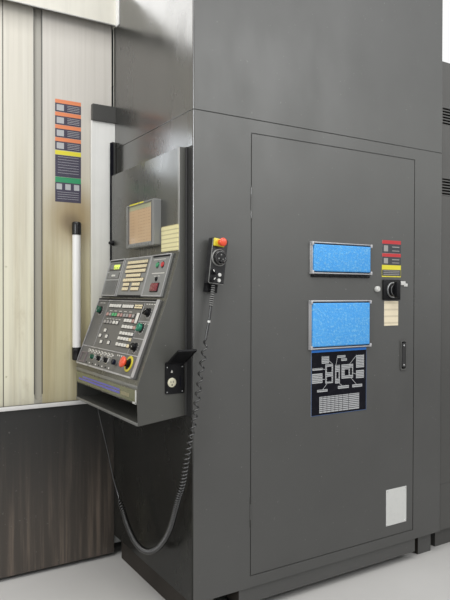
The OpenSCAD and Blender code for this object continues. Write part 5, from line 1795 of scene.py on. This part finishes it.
@dataclass
class CabinetDoor:
    """Filters, plates, main switch, lock and latch on the cabinet door.

    Boxes are (x0, x1, z0, z1) on the door; places are in the corner frame.
    """

    pad_boxes: tuple[Box, ...] = ((556, 875, 1341, 1453), (551, 872, 1028, 1210))
    frame_boxes: tuple[Box, ...] = ((546, 885, 1330, 1464), (541, 882, 1017, 1221))
    frame_bar: float = 6.5
    pad_depth: float = 18.0
    chart_place: Point = (555, -1.5, 740)
    fields_place: Point = (960, -1.0, 1325)
    data_place: Point = (992, -1.5, 199)
    switch_place: Point = (1017, -6, 1266)
    lock_place: Point = (927, 0, 1270)
    latch_place: Spot = (1097, -6)
    latch_zs: Spot = (1012, 922)

    def filters(self) -> None:
        """Rounded foam pads in silver frames with corner clips, and the dark rail below."""
        pads = Shape()
        for x0, x1, z0, z1 in self.pad_boxes:
            pads.block((x0, -self.pad_depth, z0), (x1, 0, z1), 6.0, 4)
        made = pads.piece("foam_pads", Palette.FOAM, "cabinet_door")
        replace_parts(made, "filter_pads")
        frames, clips = Shape(), Shape()
        for x0, x1, z0, z1 in self.frame_boxes:
            at = front_frame(x0, 0, z0)
            w, h = x1 - x0, z1 - z0
            frames.frame_ring((0, 0), (w, h), self.frame_bar, 0.0, 4.0, at, 0.8)
            frames.block((0, 2, 4), (w, 6, 18), 0.8, 2, at)
            frames.block((2, 0, 4), (5, h, 14), 0.6, 2, at)
            frames.block((0, h - 5, 4), (w, h - 2, 15), 0.6, 2, at)
            for u in (0.5, w - 9.5):
                for v in (0.5, h - 15.5):
                    clips.block((u, v, 4), (u + 8.5, v + 15, 19), 1.4, 2, at)
        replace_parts(frames.piece("filter_rails", Palette.RIM, "cabinet_door"), "filter_frames")
        clips.piece("filter_clips", Palette.RIM, "cabinet_door")
        under = Shape()
        under.block((552, -7, 1318), (880, 0, 1330), 1.0, 2)
        for k in range(11):
            under.block((560 + 29 * k, -9, 1319), (574 + 29 * k, -6, 1328), 1.0, 2)
        under.piece("filter_spring_rail", Palette.BLACK, "cabinet_door")

    def chart(self) -> None:
        """Dark chart with its pale blocks, links and table, all without writing."""
        at = front_frame(*self.chart_place)
        edge = Shape().strips([(0, 0, 311, 275)], 0, 0.4, at, 0.1)
        edge.piece("chart_edge", Palette.FIELD_BLUE, "cabinet_door")
        ground = Shape().strips([(1.8, 1.8, 309.2, 264)], 0.3, 0.7, at, 0.1)
        ground.piece("chart_field", Palette.FIELD_BLACK, "cabinet_door")
        head = Shape().strips([(1.8, 264, 309.2, 274)], 0.3, 0.7, at, 0.1)
        head.piece("chart_strip", Palette.VIVID_BLUE, "cabinet_door")
        pale, dark = Shape(), Shape()
        for u0, v0, u1, v1 in ((56, 216, 96, 246), (6, 190, 60, 199), (4, 136, 60, 176), (250, 188, 296, 244),
                               (250, 142, 296, 176), (142, 236, 188, 246), (164, 222, 196, 232),
                               (76, 132, 118, 212), (130, 128, 156, 206), (166, 146, 232, 206),
                               (32, 98, 88, 108), (146, 104, 208, 116), (228, 104, 286, 116)):
            rows = [(u0 + 2, v0 + 5 + 7 * k, u1 - 2, v0 + 7 + 7 * k) for k in range(int((v1 - v0) / 7))]
            pale.strips([(u0, v0, u1, v1)], 0.6, 0.9, at)
            dark.strips(rows, 0.8, 1.05, at)
        pale.strips([(44, 10, 268, 78)], 0.6, 0.9, at)
        dark.strips([(84, 140, 110, 160), (84, 178, 110, 200), (137, 150, 149, 176), (184, 158, 206, 184),
                     (214, 158, 226, 190)], 0.8, 1.05, at)
        for u0, v0, u1, v1 in ((96, 226, 118, 210), (142, 238, 134, 206), (250, 240, 212, 206),
                               (60, 194, 78, 190), (60, 150, 80, 150), (62, 108, 88, 134),
                               (170, 116, 150, 130), (252, 116, 218, 148), (250, 160, 232, 166)):
            run = Vector((u1 - u0, v1 - v0, 0.0))
            along = at @ shift(u0, v0, 0) @ turned(math.atan2(run.y, run.x))
            pale.strips([(0, -1.0, run.length, 1.0)], 0.6, 0.9, along)
        dark.strips([(46, 16 + 8.0 * k, 266, 18.6 + 8.0 * k) for k in range(8)], 0.8, 1.05, at)
        dark.strips([(u, 10, u + 2.0, 78) for u in (62, 84, 106, 128, 150, 172, 206)], 0.8, 1.05, at)
        pale.piece("chart_blocks", Palette.FIELD_PALE, "cabinet_door")
        dark.piece("chart_marks", Palette.FIELD_BLACK, "cabinet_door")

    def fields(self) -> None:
        """Three colour fields below the main switch, with plain bars on them."""
        at = front_frame(*self.fields_place)
        for name, v0, v1, finish in (
                ("field_a_red", 148, 164, Palette.FIELD_RED), ("field_a_dark", 106, 148, Palette.FIELD_DARK),
                ("field_b_red", 90, 105, Palette.FIELD_RED), ("field_b_dark", 53, 90, Palette.FIELD_DARK),
                ("field_c_yellow", 32, 52, Palette.FIELD_YELLOW),
                ("field_c_dark", 4, 32, Palette.FIELD_DARK)):
            Shape().strips([(0, v0, 118, v1)], 0, 0.5, at, 0.1).piece(name, finish, "cabinet_door")
        marks = Shape()
        for v0, v1 in ((114, 141), (60, 84)):
            marks.strips([(10, v0, 36, v1), (62, v0 + 2, 108, v0 + 5), (62, v1 - 8, 108, v1 - 4)], 0.4, 0.7,
                         at)
        marks.strips([(8, v, 110, v + 3) for v in (9, 17, 25)], 0.4, 0.7, at)
        marks.piece("field_marks", Palette.DIM_KEY, "cabinet_door")
        edge = Shape().strips([(-1.5, -1, 119.5, 54)], 0, 0.3, at, 0.1)
        edge.piece("field_c_edge", Palette.FIELD_YELLOW, "cabinet_door")

    def data_plate(self) -> None:
        """Blank metal plate with its four rivets, and the paper card."""
        at = front_frame(*self.data_place)
        plate = Shape().strips([(0, 0, 130, 164)], 0, 1.0, at, 0.3)
        plate.piece("data_plate", Palette.PLATE, "cabinet_door")
        rivets = Shape()
        for u in (7, 123):
            for v in (7, 157):
                rivets.lathe([(0, 0.9), (3, 0.9), (2.4, 2.2), (0, 2.6)], at @ shift(u, v, 0), 16)
        rivets.piece("data_plate_rivets", Palette.CHROME, "cabinet_door")
        card = Shape().block((974, -1.9, 1105), (1063, -0.9, 1216), 0.3, 1)
        card.piece("paper_card", Palette.TAG, "cabinet_door")

    def switchgear(self) -> None:
        """Main switch handle, its light ring, the white tab, lock knob and lift latch."""
        at = front_frame(*self.switch_place)
        plate = Shape().block((-54, -45, -1), (54, 46, 2.0), 2.0, 2, at)
        for u in (-46, 46):
            for v in (-37, 38):
                plate.screw(3.4, at @ shift(u, v, 1.6))
        plate.piece("switch_plate", Palette.BLACK, "cabinet_door")
        ring = Shape().lathe([(30.5, 2), (34.5, 2), (34.5, 8), (33.4, 9), (31.0, 9), (30.5, 2)], at, 48)
        ring.piece("switch_ring", Palette.GALVANISED, "cabinet_door")
        grip = Shape()
        grip.lathe([(0, 2.5), (30, 2.5), (30, 18), (27.6, 22), (0, 22)], at, 48)
        grip.lathe([(0, 0.5), (9.9, 0.5), (9.9, 3), (0, 3)], at, 24)
        grip.block((-11, -34, 20), (11, 38, 44), 6.0, 4, at)
        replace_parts(grip.piece("switch_grip", Palette.BLACK, "breaker_handle"), "breaker_handle")
        arc = Shape().lathe([(25.4, 21.0), (27.6, 21.0), (27.6, 22.8), (25.4, 22.8), (25.4, 21.0)], at, 48)
        arc.piece("switch_light_arc", Palette.GALVANISED, "breaker_handle")
        tab = Shape().block((1078, -4.0, 1288), (1108, -0.2, 1306), 1.2, 2)
        tab.block((1098, -3.6, 1282), (1122, -0.2, 1296), 1.2, 2)
        tab.piece("white_tab", Palette.WHITE, "cabinet_door")
        lock = front_frame(*self.lock_place)
        knob = Shape().lathe([(0, 0.5), (12.6, 0.5), (13, 4), (12.4, 12.0), (9.0, 15.6), (0, 16.0)], lock, 32)
        knob.block((-2.6, -9.5, 15.0), (2.6, 9.5, 20.0), 1.2, 2, lock)
        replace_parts(knob.piece("lock_cap", Palette.WHITE, "lock_knob"), "lock_knob")
        pins = Shape()
        for z in self.latch_zs:
            pins.lathe([(0, 0), (4.6, 0), (3.8, 2.4), (0, 3.0)], front_frame(*self.latch_place, z), 20)
        pins.piece("latch_pins", Palette.CHROME, "door_latch")

    def build(self) -> None:
        """Builds all that the cabinet door carries."""
        self.filters()
        self.chart()
        self.fields()
        self.data_plate()
        self.switchgear()


@dataclass
class SlidingDoor:
    """Handle, label fields and edge seals of the sliding front door."""

    handle_x: float = -188.5
    handle_y: float = 753.0
    handle_zs: Spot = (1002.0, 1514.0)
    tube_r: float = 18.6
    stack_place: Point = (-277, 782, 1660)
    stack_w: float = 119.0
    label_pitch: float = 57.0
    seal_zs: Spot = (800, 2500)

    def handle(self) -> None:
        """White tube with its two black caps."""
        low, high = self.handle_zs
        tube = Shape().lathe([(0, 0), (self.tube_r, 0), (self.tube_r, high - low), (0, high - low)],
                             shift(self.handle_x, self.handle_y, low), 36)
        made = tube.piece("handle_tube", Palette.WHITE_PAINT, "front_door")
        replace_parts(made, "door_handle")
        caps = Shape()
        for z, flip in ((high - 2, 1), (low + 2, -1)):
            at = shift(self.handle_x, self.handle_y, z) @ Matrix.Scale(flip, 4, (0, 0, 1))
            caps.lathe([(0, 0), (20.5, 0), (21, 4), (21, 50), (18.5, 57), (12, 60), (0, 60)], at, 36)
            caps.block((-14, 0, 18), (14, 29, 46), 4.0, 3, at)
        bmesh.ops.recalc_face_normals(caps.bm, faces=caps.bm.faces)
        caps.piece("handle_caps", Palette.GLOSS_BLACK, "front_door")

    def stack(self) -> None:
        """Stack of plain colour fields with pale bars and blocks on them."""
        at = front_frame(*self.stack_place)
        w, pitch = self.stack_w, self.label_pitch
        orange, dark, yellow, green, pale = Shape(), Shape(), Shape(), Shape(), Shape()
        for k in range(4):
            v = 460 - pitch * k
            orange.strips([(0, v - 17, w, v)], 0, 0.5, at, 0.1)
            dark.strips([(0, v - 56, w, v - 17)], 0, 0.5, at, 0.1)
            pale.strips([(7, v - 50, 40, v - 23)], 0.4, 0.9, at, 0.1)
            pale.strips([(56, v - 26 - 7.4 * n, 112, v - 24.2 - 7.4 * n) for n in range(4)], 0.4, 0.9, at)
        yellow.strips([(0, 212, w, 231)], 0, 0.5, at, 0.1)
        dark.strips([(0, 113, w, 211)], 0, 0.5, at, 0.1)
        green.strips([(0, 88, w, 112)], 0, 0.5, at, 0.1)
        dark.strips([(0, 0, w, 88)], 0, 0.5, at, 0.1)
        pale.strips([(12, 202 - 12 * n, 108, 203.4 - 12 * n) for n in range(7)], 0.4, 0.9, at)
        pale.strips([(u, 56, u + 25, 82) for u in (6, 46, 86)], 0.4, 0.9, at, 0.1)
        pale.strips([(10, 44 - 10 * n, 108, 45.4 - 10 * n) for n in range(4)], 0.4, 0.9, at)
        pale.piece("stack_pale", Palette.FIELD_PALE, "front_door")
        orange.piece("stack_orange", Palette.FIELD_ORANGE, "front_door")
        dark.piece("stack_dark", Palette.FIELD_DUSK, "front_door")
        yellow.piece("stack_yellow", Palette.FIELD_YELLOW, "front_door")
        green.piece("stack_green", Palette.FIELD_GREEN, "front_door")

    def seals(self) -> None:
        """Two long lips of the channel at the door's edge."""
        low, high = self.seal_zs
        lips = Shape()
        lips.block((-372.4, 781.2, low), (-369.2, 783.2, high), 0.4, 1)
        lips.block((-337.4, 780.8, low), (-333.8, 783.2, high), 0.4, 1)
        lips.piece("channel_lips", Palette.TRIM, "front_door")

    def build(self) -> None:
        """Adds the door's handle, labels and seals."""
        self.handle()
        self.stack()
        self.seals()


@dataclass
class FrontWall:
    """Trims of the header and the corner beside the cabinet, and the right guard's pipe."""

    pipe_start: Point = (1376, 40, 1915)
    pipe_r: float = 25.0
    pipe_l: float = 500.0

    def build(self) -> None:
        """Header's lower fold, white corner strip, ledge edge, a black bar of painted shadow in the jamb's gap
        and the pipe on the guard.
        """
        fold = Shape().block((-1896, 745.6, 2491.6), (-4, 752, 2497), 0.8, 1)
        fold.piece("header_fold", Palette.ALUMINIUM, "machine")
        strip = Shape().block((-4.2, 708, 2486), (-0.2, 746, 2799), 0.8, 1)
        strip.piece("corner_strip", Palette.WHITE_PAINT, "machine")
        # Black bar in the gap between the cabinet's side and the jamb: painted shadow.
        gap = Shape().block((-33, 741, 1290), (-16, 744, 1946), 0.5, 1)
        gap.piece("jamb_gap_shadow", Palette.FIELD_BLACK, "machine")
        ledge = Shape().block((-1899, 764, 740.5), (-0.5, 768, 758.4), 1.0, 2)
        ledge.piece("ledge_edge", Palette.WHITE_PAINT, "machine")
        along = axes_frame(self.pipe_start, Vector((0, 1, 0)), Vector((0, 0, 1)), Vector((1, 0, 0)))
        pipe = Shape().lathe([(0, 0), (self.pipe_r, 0), (self.pipe_r, self.pipe_l), (0, self.pipe_l)], along,
                             28)
        pipe.piece("guard_pipe", Palette.WHITE_PAINT, "machine")


class NodeDresser:
    """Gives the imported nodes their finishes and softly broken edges."""

    finishes: dict[str, Palette] = {
        "machine_base": Palette.IRON, "leveling_feet": Palette.BLACK_PAINT, "enclosure_walls": Palette.CREAM,
        "roof_panel": Palette.CREAM, "front_apron": Palette.APRON, "door_header": Palette.HEADER,
        "jamb_cover": Palette.JAMB, "jamb_trim": Palette.TRIM, "right_guard": Palette.GUARD,
        "cabinet_shell": Palette.CABINET, "cabinet_top_box": Palette.CABINET,
        "cabinet_plinth": Palette.CABINET,
        # The hinge strip's black is partly a black strip, partly painted shade beside the console's hinge.
        "hinge_strip": Palette.RUBBER_AND_SHADE, "cabinet_backplate": Palette.GALVANISED,
        # The bracket's black below the pendant stands partly for the pendant's shadow on the cabinet: painted
        # shadow.
        "pendant_bracket": Palette.BLACK,
        "front_door": Palette.DOOR, "door_window": Palette.GLASS, "cabinet_door": Palette.CABINET,
        "door_plates": Palette.FIELD_PALE, "breaker_plate": Palette.BLACK, "door_latch": Palette.BLACK_PAINT,
        "console_case": Palette.CONSOLE, "monitor_housing": Palette.BEZEL, "monitor_screen": Palette.SCREEN,
        "keyboard_panel": Palette.KEYFIELD, "operation_panel": Palette.FACE, "outlet_plate": Palette.BLACK,
        "outlet_flap": Palette.BLACK, "column": Palette.IRON, "spindle_head": Palette.IRON,
        "spindle": Palette.STEEL, "table_saddle": Palette.IRON, "rotary_pallet": Palette.STEEL,
        "tool_magazine": Palette.IRON}
    # Finishes for faces that look left: the cabinet's and console's are darker copies of their grey, painted
    # shade.
    side_finishes: dict[str, Palette] = {
        "cabinet_shell": Palette.CABINET_SIDE_SHADE, "cabinet_top_box": Palette.CABINET_SIDE_SHADE,
        "cabinet_plinth": Palette.PLINTH_SIDE, "console_case": Palette.CONSOLE_SIDE_SHADE}
    edges: dict[str, float] = {
        "cabinet_door": 0.8, "monitor_housing": 2.0, "keyboard_panel": 0.7, "operation_panel": 0.7,
        "outlet_plate": 0.5, "outlet_flap": 0.5, "door_latch": 0.8, "monitor_screen": 0.3, "door_plates": 0.3}
    flat_deg: float = 0.6
    sharp_deg: float = 28.0
    smooth_deg: float = 38.0
    edge_mm: float = 1.2
    left_normal: float = -0.55

    def clean_copy(self, node: str) -> bmesh.types.BMesh:
        """A merged copy of a node's mesh with its flat faces whole and its sharp edges broken.

        Args:
            node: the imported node.

        Returns:
            The copy as a bmesh.
        """
        part = bmesh.new()
        part.from_mesh(frame["nodes"][node].data)
        bmesh.ops.remove_doubles(part, verts=part.verts, dist=2e-5)
        bmesh.ops.dissolve_limit(part, angle_limit=math.radians(self.flat_deg), verts=part.verts,
                                 edges=part.edges)
        sharp = [e for e in part.edges
                 if len(e.link_faces) == 2 and e.calc_face_angle(0.0) > math.radians(self.sharp_deg)]
        bmesh.ops.bevel(part, geom=sharp, offset=self.edges.get(node, self.edge_mm) / 1000.0,
                        affect="EDGES", segments=2, profile=0.5, material=-1, clamp_overlap=True)
        return part

    def dress(self, node: str, finish: Palette) -> None:
        """Stands a finished copy in a node's place, with another finish on faces that look left.

        Args:
            node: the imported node.
            finish: its finish.
        """
        part = self.clean_copy(node)
        mesh = bpy.data.meshes.new(node + "_dressed")
        mesh.materials.append(finish.material())
        # Faces that look left take the side finish: for the cabinet and console a darker copy of their grey,
        # painted shade.
        if node in self.side_finishes:
            mesh.materials.append(self.side_finishes[node].material())
            for face in part.faces:
                face.normal_update()
                face.material_index = 1 if face.normal.x < self.left_normal else 0
        part.to_mesh(mesh)
        part.free()
        smoothed(mesh, self.smooth_deg)
        made = placed(node + "_dressed", mesh)
        even = made.modifiers.new("even_shading", "WEIGHTED_NORMAL")
        even.keep_sharp = True
        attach(made, frame["nodes"][node]["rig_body"])
        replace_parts(made, node)
        LOG.info("%s: %s, %d faces", node, finish.value.name, len(mesh.polygons))

    def build(self) -> None:
        """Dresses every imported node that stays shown."""
        for node, finish in self.finishes.items():
            self.dress(node, finish)


def main() -> None:
    """Builds the scene: camera and cord first, then the machine's parts."""
    logging.basicConfig(level=logging.INFO, format="%(message)s")
    Studio().build()
    PendantCord().build()
    NodeDresser().build()
    ConsoleFace().build()
    Monitor().build()
    OutletBox().build()
    ConsoleBody().build()
    Pendant().build()
    CabinetDoor().build()
    SlidingDoor().build()
    FrontWall().build()
    bpy.context.view_layer.update()


if __name__ == "__main__":
    main()
